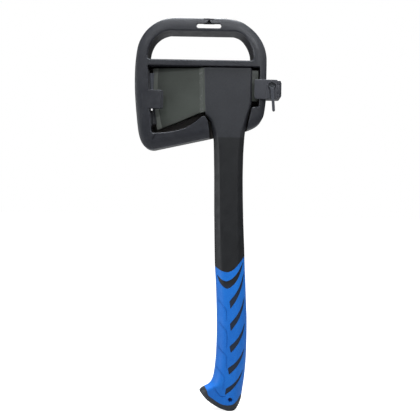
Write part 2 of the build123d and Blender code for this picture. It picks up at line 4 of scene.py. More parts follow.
import bmesh
import bpy
import numpy as np
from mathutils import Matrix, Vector


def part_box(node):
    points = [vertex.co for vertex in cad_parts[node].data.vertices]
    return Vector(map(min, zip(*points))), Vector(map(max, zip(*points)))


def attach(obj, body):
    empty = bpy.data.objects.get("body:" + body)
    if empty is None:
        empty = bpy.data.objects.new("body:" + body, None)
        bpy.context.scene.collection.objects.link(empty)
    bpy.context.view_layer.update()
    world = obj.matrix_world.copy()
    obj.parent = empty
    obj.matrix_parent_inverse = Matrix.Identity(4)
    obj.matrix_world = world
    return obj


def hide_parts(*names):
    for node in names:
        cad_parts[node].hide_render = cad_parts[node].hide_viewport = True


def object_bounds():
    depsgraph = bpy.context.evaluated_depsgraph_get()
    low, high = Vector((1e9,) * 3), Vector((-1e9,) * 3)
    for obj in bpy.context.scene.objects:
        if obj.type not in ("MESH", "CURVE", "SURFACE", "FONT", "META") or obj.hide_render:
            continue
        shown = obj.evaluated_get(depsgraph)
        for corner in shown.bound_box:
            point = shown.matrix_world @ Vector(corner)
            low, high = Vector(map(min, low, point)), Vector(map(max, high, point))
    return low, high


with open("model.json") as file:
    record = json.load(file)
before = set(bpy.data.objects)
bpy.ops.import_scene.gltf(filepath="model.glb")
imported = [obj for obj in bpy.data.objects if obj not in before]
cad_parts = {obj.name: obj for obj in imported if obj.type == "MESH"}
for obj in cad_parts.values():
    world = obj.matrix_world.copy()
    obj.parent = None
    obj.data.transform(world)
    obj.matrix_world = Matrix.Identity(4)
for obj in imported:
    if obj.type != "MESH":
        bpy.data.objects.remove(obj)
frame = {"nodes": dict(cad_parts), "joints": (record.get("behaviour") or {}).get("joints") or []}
cad_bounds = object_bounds()
MM = 0.001


# ---------------------------------------------------------------- outlines (side plane, in mm)
TINY = 1e-6             # keeps a length from being zero
SAME_POINT = 0.05       # points closer than this count as one
CORNER_STEPS = 5        # steps round one corner
CORNER_SHARE = 0.49     # most of a side that one corner may take
SHARP = 0.02            # a smaller radius leaves the corner as it is


def smooth(points, before=None, after=None, step=1.2):
    """Points along a curve through the given ones; before and after steer its ends."""
    p = [np.array(q, float) for q in points]
    first = np.array(before, float) if before is not None else 2 * p[0] - p[1]
    last = np.array(after, float) if after is not None else 2 * p[-1] - p[-2]
    p = [first] + p + [last]
    out = []
    for i in range(1, len(p) - 2):
        a, b, c, d = p[i - 1 : i + 3]
        ta, tb, tc = (max(np.linalg.norm(v) ** 0.5, TINY) for v in (b - a, c - b, d - c))
        m1 = ((b - a) / ta - (c - a) / (ta + tb) + (c - b) / tb) * tb
        m2 = ((c - b) / tb - (d - b) / (tb + tc) + (d - c) / tc) * tb
        n = max(2, int(np.linalg.norm(c - b) / step))
        for k in range(n):
            t = k / n
            h = (2 * t**3 - 3 * t**2 + 1, t**3 - 2 * t**2 + t, 3 * t**2 - 2 * t**3, t**3 - t**2)
            out.append(h[0] * b + h[1] * m1 + h[2] * c + h[3] * m2)
    return out + [p[-2]]


def line(*points):
    return [np.array(q, float) for q in points]


def join(*parts):
    """One closed outline from pieces placed end to end, without repeated points."""
    out = []
    for part in parts:
        for q in part:
            if not out or np.linalg.norm(q - out[-1]) > SAME_POINT:
                out.append(np.array(q, float))
    if np.linalg.norm(out[0] - out[-1]) < SAME_POINT:
        out.pop()
    return np.array(out)


def rounded(corners, radius):
    """Closed outline with each corner rounded; radius is one number or one for each corner."""
    c = [np.array(q, float) for q in corners]
    radii = radius if isinstance(radius, (list, tuple)) else [radius] * len(c)
    out = []
    for i, q in enumerate(c):
        a, b = c[i - 1] - q, c[(i + 1) % len(c)] - q
        la, lb = np.linalg.norm(a), np.linalg.norm(b)
        a, b = a / la, b / lb
        half = math.acos(max(-1, min(1, float(a @ b)))) / 2
        reach = min(radii[i] / math.tan(half), CORNER_SHARE * la, CORNER_SHARE * lb)
        r = reach * math.tan(half)
        if r < SHARP:
            out.append(q)
            continue
        middle = q + (a + b) / np.linalg.norm(a + b) * r / math.sin(half)
        s, e = q + a * reach - middle, q + b * reach - middle
        turn = math.atan2(s[0] * e[1] - s[1] * e[0], s @ e)
        for k in range(CORNER_STEPS + 1):
            w = turn * k / CORNER_STEPS
            spoke = [s[0] * math.cos(w) - s[1] * math.sin(w), s[0] * math.sin(w) + s[1] * math.cos(w)]
            out.append(middle + np.array(spoke))
    return np.array(out)


def panel(x0, z0, x1, z1, radius):
    """Rectangle between two opposite corners, with its corners rounded."""
    return rounded([(x0, z0), (x1, z0), (x1, z1), (x0, z1)], radius)


def circle(x, z, r, n=40):
    """Outline of a circle from n points."""
    w = np.linspace(0, 2 * math.pi, n, endpoint=False)
    return np.stack([x + r * np.cos(w), z + r * np.sin(w)], 1)


def grown(loop, by):
    """Outline moved outwards by a small distance."""
    if not by:
        return loop
    a, b = np.roll(loop, 1, 0), np.roll(loop, -1, 0)
    t = b - a
    n = np.stack([t[:, 1], -t[:, 0]], 1) / np.maximum(np.linalg.norm(t, axis=1), TINY)[:, None]
    area = np.sum(loop[:, 0] * np.roll(loop[:, 1], -1) - np.roll(loop[:, 0], -1) * loop[:, 1])
    return loop + n * by * (1 if area > 0 else -1)


def lay(loop, y):
    """Ring of points in space: a side-plane outline placed at depth y."""
    return [(q[0], y, q[1]) for q in loop]


# ---------------------------------------------------------------- solids
MERGE = 2e-6        # metres; vertices closer than this become one
BEVEL_STEPS = 3     # steps in a plate's rounded edge


def link(name, mesh):
    ob = bpy.data.objects.new(name, mesh)
    bpy.context.scene.collection.objects.link(ob)
    return ob


def tidy(ob):
    """Merges vertices that coincide and turns all faces outwards."""
    bm = bmesh.new()
    bm.from_mesh(ob.data)
    bmesh.ops.remove_doubles(bm, verts=bm.verts, dist=MERGE)
    bmesh.ops.dissolve_degenerate(bm, edges=bm.edges, dist=MERGE / 2)
    bmesh.ops.recalc_face_normals(bm, faces=bm.faces)
    bm.to_mesh(ob.data)
    bm.free()
    return ob


def plate(name, loop, front, back, edge=0.0, plane="side"):
    """Solid between two depths from a closed outline, with rounded edges.
    plane side: outline x, z and depth y. plane top: outline x, y and depth z."""
    cu = bpy.data.curves.new(name, "CURVE")
    cu.dimensions, cu.fill_mode = "2D", "BOTH"
    sp = cu.splines.new("POLY")
    sp.points.add(len(loop) - 1)
    sp.points.foreach_set("co", [v for q in loop for v in (q[0] * MM, q[1] * MM, 0, 1)])
    sp.use_cyclic_u = True
    cu.extrude = (abs(back - front) / 2 - edge) * MM
    cu.bevel_depth, cu.bevel_resolution, cu.offset = edge * MM, BEVEL_STEPS, -edge * MM
    temp = link(name + "_curve", cu)
    bpy.context.view_layer.update()
    mesh = bpy.data.meshes.new_from_object(temp.evaluated_get(bpy.context.evaluated_depsgraph_get()))
    bpy.data.objects.remove(temp)
    co = np.zeros(len(mesh.vertices) * 3, np.float32)
    mesh.vertices.foreach_get("co", co)
    co = co.reshape(-1, 3)
    middle = (front + back) / 2 * MM
    if plane == "side":
        co = np.stack([co[:, 0], co[:, 2] + middle, co[:, 1]], 1)
    else:
        co = np.stack([co[:, 0], co[:, 1], co[:, 2] + middle], 1)
    mesh.vertices.foreach_set("co", co.astype(np.float32).ravel())
    return tidy(link(name, mesh))


def rings(name, loops):
    """Closed solid through rings of equally many points, in mm."""
    n, m = len(loops[0]), len(loops)
    verts = [tuple(v * MM for v in q) for loop in loops for q in loop]
    faces = []
    for j in range(m - 1):
        for i in range(n):
            k = (i + 1) % n
            faces.append((j * n + i, j * n + k, (j + 1) * n + k, (j + 1) * n + i))
    for j in (0, m - 1):
        verts.append(tuple(v * MM for v in np.mean(loops[j], 0)))
        c = len(verts) - 1
        faces += [(j * n + i, j * n + (i + 1) % n, c) for i in range(n)]
    mesh = bpy.data.meshes.new(name)
    mesh.from_pydata(verts, [], faces)
    return tidy(link(name, mesh))


def boolean(a, b, how="DIFFERENCE", keep=False):
    """Cuts, joins or crosses a with b and leaves the result in a."""
    mod = a.modifiers.new("cut", "BOOLEAN")
    mod.operation, mod.solver, mod.object = how, "MANIFOLD", b
    bpy.context.view_layer.update()
    mesh = bpy.data.meshes.new_from_object(a.evaluated_get(bpy.context.evaluated_depsgraph_get()))
    a.modifiers.remove(mod)
    if len(mesh.polygons) == 0:
        raise RuntimeError(f"{a.name} {how} {b.name} left nothing")
    a.data = mesh
    if not keep:
        bpy.data.objects.remove(b)


def apply(ob, kind, **settings):
    """Runs one modifier and keeps its result as the mesh."""
    mod = ob.modifiers.new(kind, kind)
    for key, value in settings.items():
        setattr(mod, key, value)
    bpy.context.view_layer.update()
    mesh = bpy.data.meshes.new_from_object(ob.evaluated_get(bpy.context.evaluated_depsgraph_get()))
    ob.modifiers.remove(mod)
    ob.data = mesh


def finish_piece(ob, body, node, mats, angle):
    """Gives smooth shading with crisp edges, materials and the body it rides on, and hides the CAD node it
    stands for.
    """
    ob.data.shade_smooth()
    ob.data.set_sharp_from_angle(angle=math.radians(angle))
    ob.data.materials.clear()
    for mat in mats:
        ob.data.materials.append(mat)
    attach(ob, body)
    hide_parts(node)


# ---------------------------------------------------------------- materials
# Lengths in materials are in metres and noise scales are per metre.
class Nodes:
    """Small helper that adds nodes to one material and links them."""

    def __init__(self, name):
        self.mat = bpy.data.materials.new(name)
        self.mat.use_nodes = True
        self.t = self.mat.node_tree
        self.t.nodes.clear()
        out = self.t.nodes.new("ShaderNodeOutputMaterial")
        self.bsdf = self.t.nodes.new("ShaderNodeBsdfPrincipled")
        self.t.links.new(self.bsdf.outputs[0], out.inputs[0])
        coord = self.t.nodes.new("ShaderNodeTexCoord")
        self.place = coord.outputs["Object"]
        self.facing = coord.outputs["Normal"]

    def set(self, socket, value):
        if isinstance(value, bpy.types.NodeSocket):
            self.t.links.new(value, socket)
        elif value is not None:
            socket.default_value = value

    def add(self, kind, inputs=(), **props):
        n = self.t.nodes.new(kind)
        for k, v in props.items():
            setattr(n, k, v)
        for k, v in dict(inputs).items():
            self.set(n.inputs[k], v)
        return n

    def noise(self, scale, detail, rough, stretch=None, seed=0.0):
        at = self.place
        if stretch:
            at = self.add("ShaderNodeMapping", {0: at, 3: stretch}).outputs[0]
        n = self.add(
            "ShaderNodeTexNoise",
            {"Vector": at, "W": seed, "Scale": scale, "Detail": detail, "Roughness": rough},
            noise_dimensions="4D",
        )
        return n.outputs["Fac"]

    def cells(self, scale):
        return self.add("ShaderNodeTexVoronoi", {"Vector": self.place, "Scale": scale}).outputs["Distance"]

    def math(self, how, a, b=None, clamp=False):
        return self.add("ShaderNodeMath", {0: a, 1: b}, operation=how, use_clamp=clamp).outputs[0]

    def times(self, a, b):
        return self.math("MULTIPLY", a, b)

    def span(self, value, low, high, to_low=0.0, to_high=1.0):
        """Soft step from to_low to to_high while the value goes from low to high."""
        n = self.add(
            "ShaderNodeMapRange",
            {"Value": value, "From Min": low, "From Max": high, "To Min": to_low, "To Max": to_high},
            interpolation_type="SMOOTHSTEP",
            clamp=True,
        )
        return n.outputs[0]

    def mix(self, share, a, b):
        return self.add("ShaderNodeMix", {0: share, 6: a, 7: b}, data_type="RGBA").outputs[2]

    def axis(self, vector, which):
        return self.add("ShaderNodeSeparateXYZ", {0: vector}).outputs[which]

    def bump(self, height, strength, distance):
        inputs = {"Height": height, "Strength": strength, "Distance": distance}
        return self.add("ShaderNodeBump", inputs).outputs[0]

    def finish(self, colour, roughness, normal=None, **more):
        self.set(self.bsdf.inputs["Base Color"], colour)
        self.set(self.bsdf.inputs["Roughness"], roughness)
        self.set(self.bsdf.inputs["Normal"], normal)
        for k, v in more.items():
            self.set(self.bsdf.inputs[k.replace("_", " ")], v)
        return self.mat


def rgb(r, g, b):
    """Linear colour from display values 0 to 255."""
    return tuple(
        (v / 255 / 12.92) if v <= 10 else ((v / 255 + 0.055) / 1.055) ** 2.4 for v in (r, g, b)
    ) + (1.0,)


PAINTED_SHADE_TONE, PAINTED_SHADE_SHARE = rgb(11, 12, 14), 0.85     # painted shade: tone mixed into a plastic below a given height, as the shadow under a housing
CORE_TONE, CORE_SHARE = rgb(22, 36, 56), 0.8        # tint that the core takes from the blue grip


def moulded(name, base, low, worn, rough, seed, edge, painted_shade_below=None, core=None):
    """Textured plastic: fine eroded grain, faint flow mottle, rubbed edges and a few scuffs.
    Height for painted shade: below it the surface is darkened, standing in for the shadow on a shaft under
    its housing.
    core: height below which it takes a tint from the coloured overmould around it."""
    n = Nodes(name)
    ny = n.math("ABSOLUTE", n.axis(n.facing, 1))
    mottle = n.noise(28, 4, 0.6, seed=seed)
    speck = n.noise(1500, 2, 0.6, seed=seed + 1)
    tone = n.mix(n.span(mottle, 0.35, 0.7), low, base)
    tone = n.mix(n.span(speck, 0.3, 0.75, 0.0, 0.35), tone, worn)
    # painted shade: the tone darkens below the given height, standing in for the shadow under a housing
    if painted_shade_below:
        in_painted_shade = n.span(n.axis(n.place, 2), painted_shade_below + 0.0012, painted_shade_below - 0.0012)
        tone = n.mix(n.times(in_painted_shade, PAINTED_SHADE_SHARE), tone, PAINTED_SHADE_TONE)
    if core:
        inside = n.span(n.axis(n.place, 2), core + 0.004, core - 0.006)
        tone = n.mix(n.times(inside, CORE_SHARE), tone, CORE_TONE)
    on_edge = n.times(n.span(ny, 0.18, 0.45), n.span(ny, 0.97, 0.8))
    broken = n.span(n.noise(160, 5, 0.7, seed=seed + 2), 0.45, 0.7)
    rubbed = n.times(n.times(on_edge, broken), edge)
    scuffs = n.span(n.noise(60, 6, 0.75, stretch=(1, 1, 7), seed=seed + 3), 0.64, 0.78, 0.0, 0.25)
    tone = n.mix(n.math("MAXIMUM", rubbed, scuffs), tone, worn)
    roughness = n.span(n.noise(90, 4, 0.6, seed=seed + 4), 0.3, 0.7, rough - 0.06, rough + 0.08)
    roughness = n.math("SUBTRACT", roughness, n.times(rubbed, 0.25), clamp=True)
    height = n.math("ADD", n.noise(1900, 3, 0.7, seed=seed + 5), n.times(n.cells(2300), 0.7))
    return n.finish(tone, roughness, n.bump(height, 0.5, 0.00006), Specular_IOR_Level=0.34)


def coated_steel(name, base, low, bevel, bare, arc):
    """Satin coat over forged steel, paler on the ground bevel, partly as ground steel and partly as painted
    light that the bevel would catch, and rubbed thin at the edge.
    arc: the edge's centre x and z and its radius, in mm."""
    n = Nodes(name)
    ny = n.math("ABSOLUTE", n.axis(n.facing, 1))
    dx = n.math("SUBTRACT", n.axis(n.place, 0), arc[0] * MM)
    dz = n.math("SUBTRACT", n.axis(n.place, 2), arc[1] * MM)
    reach = n.math("SQRT", n.math("ADD", n.times(dx, dx), n.times(dz, dz)))
    behind = n.math("SUBTRACT", arc[2] * MM, reach)
    tone = n.mix(n.span(n.noise(22, 5, 0.65), 0.35, 0.68), low, base)
    tone = n.mix(n.span(n.noise(900, 2, 0.6, seed=2), 0.35, 0.75, 0.0, 0.3), tone, base)
    fine = n.noise(140, 4, 0.7, stretch=(0.25, 1, 3), seed=4)
    # painted light: the bevel's paler tone is partly ground steel, partly light it would catch from the left
    ground_and_painted_light = n.times(n.span(behind, 0.0069, 0.0062), n.span(behind, -0.001, 0.0))
    lines = n.noise(420, 3, 0.7, stretch=(0.12, 1, 3.2), seed=9)
    tone = n.mix(n.times(ground_and_painted_light, n.span(lines, 0.25, 0.75, 0.7, 1.0)), tone, bevel)
    near = n.math("ADD", behind, n.span(n.noise(300, 4, 0.7, seed=5), 0.3, 0.7, -0.0006, 0.0006))
    edge = n.times(n.span(near, 0.0011, 0.0003), 0.4)
    corner = n.times(n.span(ny, 0.2, 0.4), n.span(ny, 0.93, 0.8))
    corner = n.times(corner, n.span(n.noise(210, 5, 0.7, seed=6), 0.5, 0.72, 0.0, 0.5))
    bare_share = n.math("MAXIMUM", edge, corner)
    rubbed = n.span(n.noise(45, 6, 0.8, stretch=(1, 1, 5), seed=7), 0.62, 0.8, 0.0, 0.22)
    tone = n.mix(n.math("MAXIMUM", bare_share, rubbed), tone, bare)
    rough = n.span(fine, 0.3, 0.7, 0.4, 0.54)
    rough = n.math("SUBTRACT", rough, n.times(bare_share, 0.12), clamp=True)
    height = n.math("ADD", n.noise(420, 3, 0.6, seed=8), n.times(fine, 0.6))
    normal = n.bump(height, 0.35, 0.00005)
    return n.finish(tone, rough, normal, Metallic=n.times(bare_share, 0.9), Specular_IOR_Level=0.4)


def soft_grip(name, base, low, high):
    """Soft rubbery overmould: satin skin, tiny pits, faint handling marks."""
    n = Nodes(name)
    tone = n.mix(n.span(n.noise(18, 4, 0.6, seed=1), 0.35, 0.7), low, base)
    tone = n.mix(n.span(n.noise(1100, 2, 0.6, seed=2), 0.35, 0.75, 0.0, 0.28), tone, high)
    smear = n.span(n.noise(48, 6, 0.75, stretch=(1, 1, 0.35), seed=3), 0.6, 0.8, 0.0, 0.22)
    tone = n.mix(smear, tone, high)
    rough = n.span(n.noise(70, 5, 0.65, seed=4), 0.3, 0.7, 0.42, 0.58)
    height = n.math("ADD", n.noise(1300, 3, 0.7, seed=5), n.times(n.cells(1500), 0.8))
    normal = n.bump(height, 0.45, 0.00006)
    return n.finish(
        tone, rough, normal, Specular_IOR_Level=0.26, Sheen_Weight=0.05, Sheen_Roughness=0.5
    )


def bright_steel(name, tone_a, tone_b, stretch):
    """Drawn or stamped steel with fine lines along its length."""
    n = Nodes(name)
    lines = n.noise(900, 4, 0.7, stretch=stretch, seed=3)
    tone = n.mix(n.span(lines, 0.3, 0.7), tone_a, tone_b)
    rough = n.span(n.noise(200, 4, 0.6, seed=5), 0.3, 0.7, 0.24, 0.42)
    return n.finish(tone, rough, n.bump(lines, 0.3, 0.00003), Metallic=0.95)


# heights in metres below which a tone changes: painted shade on the shaft and on the liner's lower part, and
# the core's tint from the grip
SHAFT_PAINTED_SHADE, CORE_TINT, LINER_PAINTED_SHADE = 0.335, 0.148, 0.378

# handle: painted shade darkens the shaft below its housing
BLACK = moulded(
    "handle_black", rgb(32, 33, 37), rgb(26, 27, 31), rgb(66, 68, 73),
    rough=0.5, seed=11, edge=0.12, painted_shade_below=SHAFT_PAINTED_SHADE, core=CORE_TINT)
CAP = moulded(
    "cap_black", rgb(30, 33, 37), rgb(25, 28, 32), rgb(76, 80, 86), rough=0.44, seed=23, edge=0.45)
GUARD = moulded(
    "guard_charcoal", rgb(24, 24, 28), rgb(19, 19, 23), rgb(68, 71, 79), rough=0.4, seed=31, edge=0.4)
FLAP = moulded(
    "flap_grey", rgb(42, 43, 48), rgb(35, 36, 41), rgb(80, 81, 87), rough=0.44, seed=47, edge=0.45)
LEVER = moulded(
    "lever_grey", rgb(46, 48, 53), rgb(38, 40, 45), rgb(96, 98, 106), rough=0.34, seed=53, edge=0.4)
# tray floor: a lighter, brownish copy of the plastic, painted bounce light in the shaded tray
TRAY_PAINTED_LIGHT = moulded(
    "tray_painted_bounce", rgb(92, 87, 83), rgb(78, 74, 71), rgb(112, 108, 104), rough=0.55, seed=37, edge=0.2)
# liner: painted shadow darkens its lower part
LINER = moulded(
    "liner_grey", rgb(70, 73, 80), rgb(60, 63, 70), rgb(96, 99, 106),
    rough=0.6, seed=61, edge=0.2, painted_shade_below=LINER_PAINTED_SHADE)
BLUE = soft_grip("grip_blue", rgb(4, 102, 193), rgb(2, 91, 180), rgb(56, 136, 212))
PIN = bright_steel("pin_steel", rgb(150, 150, 152), rgb(196, 196, 198), (1, 1, 0.04))
RING = bright_steel("ring_steel", rgb(140, 140, 143), rgb(188, 188, 191), (1, 0.2, 1))


# ---------------------------------------------------------------- handle, grip and butt: rounded rings
def through(table):
    """Smooth function of height through (height, value) pairs, without overshoot."""
    pts = sorted(table)
    z, v = np.array([p[0] for p in pts]), np.array([p[1] for p in pts])
    h, s = np.diff(z), np.diff(v) / np.diff(z)
    m = np.zeros(len(z))
    m[0], m[-1] = s[0], s[-1]
    for i in range(1, len(z) - 1):
        if s[i - 1] * s[i] > 0:
            w1, w2 = 2 * h[i] + h[i - 1], h[i] + 2 * h[i - 1]
            m[i] = (w1 + w2) / (w1 / s[i - 1] + w2 / s[i])

    def at(q):
        i = int(np.clip(np.searchsorted(z, q) - 1, 0, len(h) - 1))
        t = min(max((q - z[i]) / h[i], 0.0), 1.0)
        return (
            (2 * t**3 - 3 * t**2 + 1) * v[i] + (t**3 - 2 * t**2 + t) * h[i] * m[i]
            + (3 * t**2 - 2 * t**3) * v[i + 1] + (t**3 - t**2) * h[i] * m[i + 1]
        )

    return at


LEFT = through([
    (424.4, -41.4), (379, -39.6), (371, -39.2), (367.6, -38.9), (363.6, -37.0), (359.6, -33.9),
    (355.6, -31.8), (351, -30.4), (345, -28.9), (337, -27.4), (325, -26.6), (310, -26.1), (287, -25.4),
    (264, -25.0), (241, -24.6), (218, -24.0), (196, -23.4), (173, -22.6), (150, -21.0), (127, -19.9),
    (104, -19.1), (82, -18.8), (60, -19.2), (48, -20.0), (36, -21.2), (26, -23.2), (21, -25.6),
    (17.4, -29.2), (14.8, -33.8), (12.6, -37.6), (10.6, -39.6), (8.4, -40.2), (-20, -40.4),
])
RIGHT = through([
    (424.4, 20.9), (379, 20.8), (376, 20.1), (371, 18.8), (366.6, 17.6), (362, 16.6), (357.4, 15.7),
    (352, 14.7), (345, 13.5), (337, 12.7), (325, 12.0), (310, 11.5), (290, 11.4), (267, 11.8), (242, 12.6),
    (218, 13.7), (194, 15.0), (170, 16.1), (146, 17.6), (120, 19.0), (104, 19.9), (82, 20.2), (62, 20.0),
    (50, 19.7), (37.5, 18.8), (24.8, 17.6), (12, 15.8), (0, 14.2), (-20, 11.6),
])
THICK = through([
    (424.4, 27), (372, 27), (350, 26.5), (330, 25.9), (300, 25.0), (264, 24.5), (218, 24.9), (173, 26.1),
    (127, 28.0), (82, 29.0), (52, 28.6), (34, 28.0), (20, 27.4), (12, 26.0), (4, 25.0), (-20, 24.6),
])
CHAMFER = through([
    (424.4, 2.0), (376, 2.0), (352, 3.6), (334, 6.0), (300, 6.8), (230, 7.2), (185, 7.8), (150, 8.4),
    (100, 8.8), (50, 8.8), (20, 8.6), (8, 8.0), (-20, 7.4),
])
ROUND = through([
    (424.4, 3.4), (376, 3.4), (352, 3.6), (334, 4.0), (230, 4.6), (185, 7.0), (150, 10.0), (100, 12.5),
    (50, 13.0), (20, 12.0), (-20, 9.0),
])
FLAT = (0.0, 0.18, 0.36, 0.54, 0.72, 0.88, 1.0)     # shares of a flat where its points lie
EIGHTH = math.pi / 8
LEAST_CHAMFER, LEAST_REACH, CORNER_ROOM = 0.8, 0.15, 0.2
CHAMFER_LOSS, CHAMFER_SHARE = 0.55, 0.68    # shares of the inset and of the chamfer


def arc_points(centre, radius, start, end):
    return [
        (centre[0] + radius * math.cos(w), centre[1] + radius * math.sin(w))
        for w in np.linspace(start, end, 5)
    ]


def section(z, inset):
    """Ring of the tool at one height: a rectangle with rounded chamfers, set in by inset."""
    left, right = LEFT(z) + inset, RIGHT(z) - inset
    a, b = (right - left) / 2, THICK(z) / 2 - inset
    c = max(CHAMFER(z) - CHAMFER_LOSS * inset, LEAST_CHAMFER)
    reach = min(ROUND(z) * math.tan(EIGHTH), CHAMFER_SHARE * c, b - c - CORNER_ROOM, a - c - CORNER_ROOM)
    reach = max(reach, LEAST_REACH)
    radius = reach / math.tan(EIGHTH)
    d = reach * math.sqrt(0.5)
    quarter = [(a, (b - c - reach) * t) for t in FLAT[:-1:2]]
    quarter += arc_points((a - radius, b - c - reach), radius, 0, math.pi / 4)
    p, q = (a - d, b - c + d), (a - c + d, b - d)
    quarter += [(p[0] + (q[0] - p[0]) * t, p[1] + (q[1] - p[1]) * t) for t in (0.34, 0.67)]
    quarter += arc_points((a - c - reach, b - radius), radius, math.pi / 4, math.pi / 2)
    quarter += [((a - c - reach) * (1 - t), b) for t in FLAT[1:]]
    mid = (left + right) / 2
    half = quarter + [(-x, y) for x, y in reversed(quarter[:-1])]
    ring = half + [(x, -y) for x, y in reversed(half[1:-1])]
    return [(mid + x, y, z) for x, y in ring]


FINE, COARSE, LEAST = 1.0, 2.5, 0.4             # spacing of rings
BUTT_TOP, JOIN_LOW, JOIN_HIGH = 30, 340, 384    # heights where the rings lie close together
ROUND_STEPS = 6


def heights(low, high):
    """Heights of the rings, close together at the butt and where the housing meets the shaft."""
    out, z = [], low
    while z < high - LEAST:
        out.append(z)
        z += FINE if z < BUTT_TOP or JOIN_LOW < z < JOIN_HIGH else COARSE
    return out + [high]


def body_between(name, low, high, inset, round_top=0.0):
    """Solid of the tool between two heights; round_top rounds its upper rim."""
    levels = [(z, inset) for z in heights(low, high - round_top)]
    if round_top:
        for k in range(1, ROUND_STEPS + 1):
            w = k / ROUND_STEPS * math.pi / 2
            rise, draw_in = round_top * math.sin(w), round_top * (1 - math.cos(w))
            levels.append((high - round_top + rise, inset + draw_in))
    return rings(name, [section(z, i) for z, i in levels])


SIDE = 40.0         # cutters reach this far to both sides
OVERHANG = 30       # and this far past the ends of a dividing line
UNDER = smooth(
    [(-44.0, 13.6), (-38.6, 8.0), (-30.0, -0.6), (-21.0, -6.9), (-11.3, -11.8), (-1.0, -14.4),
     (6.4, -12.6), (10.6, -7.4), (13.2, -1.6), (20.0, 12.0)], step=0.8)
CAP_TOP = smooth(
    [(-46.0, 22.0), (-31.0, 13.2), (-28.0, 5.6), (-21.6, 0.8), (-12.4, -5.0), (-3.7, -6.8), (3.7, -5.4),
     (8.6, -1.2), (13.0, 5.4), (24.0, 15.0)], step=0.8)
COLLAR = smooth(
    [(-34.0, 176.6), (-22.4, 170.0), (-14.4, 165.0), (-6.2, 163.2), (1.6, 166.8), (8.4, 174.4),
     (15.8, 183.8), (24.0, 192.0)], step=0.8)


def over(name, edge, top, shift=0.0):
    """Cutter that fills everything above a line of the side plane."""
    edge = [q + np.array([0, shift]) for q in edge]
    upper_side = line((edge[-1][0] + OVERHANG, top), (edge[0][0] - OVERHANG, top))
    return plate(name, join(edge, upper_side), -SIDE, SIDE)


def bent(a, b, share, bow):
    """Point part of the way from a to b, pushed to the lower right by bow."""
    a, b = np.array(a, float), np.array(b, float)
    d = b - a
    n = np.array([d[1], -d[0]]) / np.linalg.norm(d)
    return a + d * share + n * bow


# grip slots: lower left end, the corner above it, and the tip at the upper right
SLOTS = [
    ((-1.6, 117.0), (-2.9, 126.0), (14.6, 161.0)),
    ((-0.6, 88.6), (-1.9, 97.4), (16.0, 131.0)),
    ((-0.2, 60.8), (-1.8, 68.6), (17.0, 97.6)),
    ((-2.0, 33.0), (-3.6, 40.6), (16.8, 65.6)),
    ((-6.6, 6.6), (-5.6, 14.4), (15.8, 38.4)),
]


def slot_outline(low, corner, tip):
    """Claw shape: blunt and cut off at the lower left, running to a point at the upper right."""
    inner = smooth([corner, bent(corner, tip, 0.3, 2.3), bent(corner, tip, 0.65, 2.4), tip], step=1.0)
    outer = smooth([tip, bent(low, tip, 0.66, 3.2), bent(low, tip, 0.3, 3.0), low], step=1.0)
    return join(inner, outer)


CRESCENT_TOP = smooth(
    [(-19.4, 158.8), (-13.6, 153.4), (-7.0, 151.4), (1.0, 155.8), (7.4, 163.6), (13.6, 175.6)], step=1.0)
CRESCENT_LOW = smooth(
    [(13.6, 175.6), (8.4, 158.4), (2.6, 148.4), (-6.2, 142.4), (-14.0, 147.4), (-19.4, 158.8)], step=1.0)


def window_plates(name, grow):
    """One plate for each slot of the grip, larger than the slot by grow."""
    loops = [slot_outline(*s) for s in SLOTS] + [join(CRESCENT_TOP, CRESCENT_LOW)]
    return [plate(f"{name}_{i}", grown(loop, grow), -SIDE, SIDE) for i, loop in enumerate(loops)]


SLEEVE_LOW, SLEEVE_HIGH = -19, 205
CORE_LOW, CORE_HIGH, SLIM_HIGH = -16, 206, 200
HANDLE_LOW, HANDLE_HIGH = 150, 424.4
PAST_GRIP, PAST_COLLAR, PAST_HANDLE = 300, 320, 460         # tops of the cutters made by over
CORE_INSET, SLIM_INSET, RIB_INSET = 2.6, 2.66, 0.5          # depths below the outside of the grip
SLOT_GAP, RIB_GAP = 0.3, 0.18                               # growth of the slots and of their ribs
VOXEL = 0.7

# outside of the grip, with the underside cut and its rim rounded
outside = body_between("grip_sleeve", SLEEVE_LOW, SLEEVE_HIGH, 0)
boolean(outside, over("cut_under", UNDER, PAST_GRIP), "INTERSECT")
apply(outside, "REMESH", mode="VOXEL", voxel_size=VOXEL * MM)
apply(outside, "SMOOTH", factor=0.5, iterations=9)

cap = link("butt_end", outside.data.copy())
boolean(cap, over("cut_cap", CAP_TOP, PAST_GRIP, -0.18))

grip = outside
boolean(grip, over("cut_grip_low", CAP_TOP, PAST_GRIP), "INTERSECT")
boolean(grip, over("cut_grip_top", COLLAR, PAST_COLLAR, -0.2))
boolean(grip, body_between("grip_core", CORE_LOW, CORE_HIGH, CORE_INSET))
for cutter in window_plates("cut_window", SLOT_GAP):
    boolean(grip, cutter)

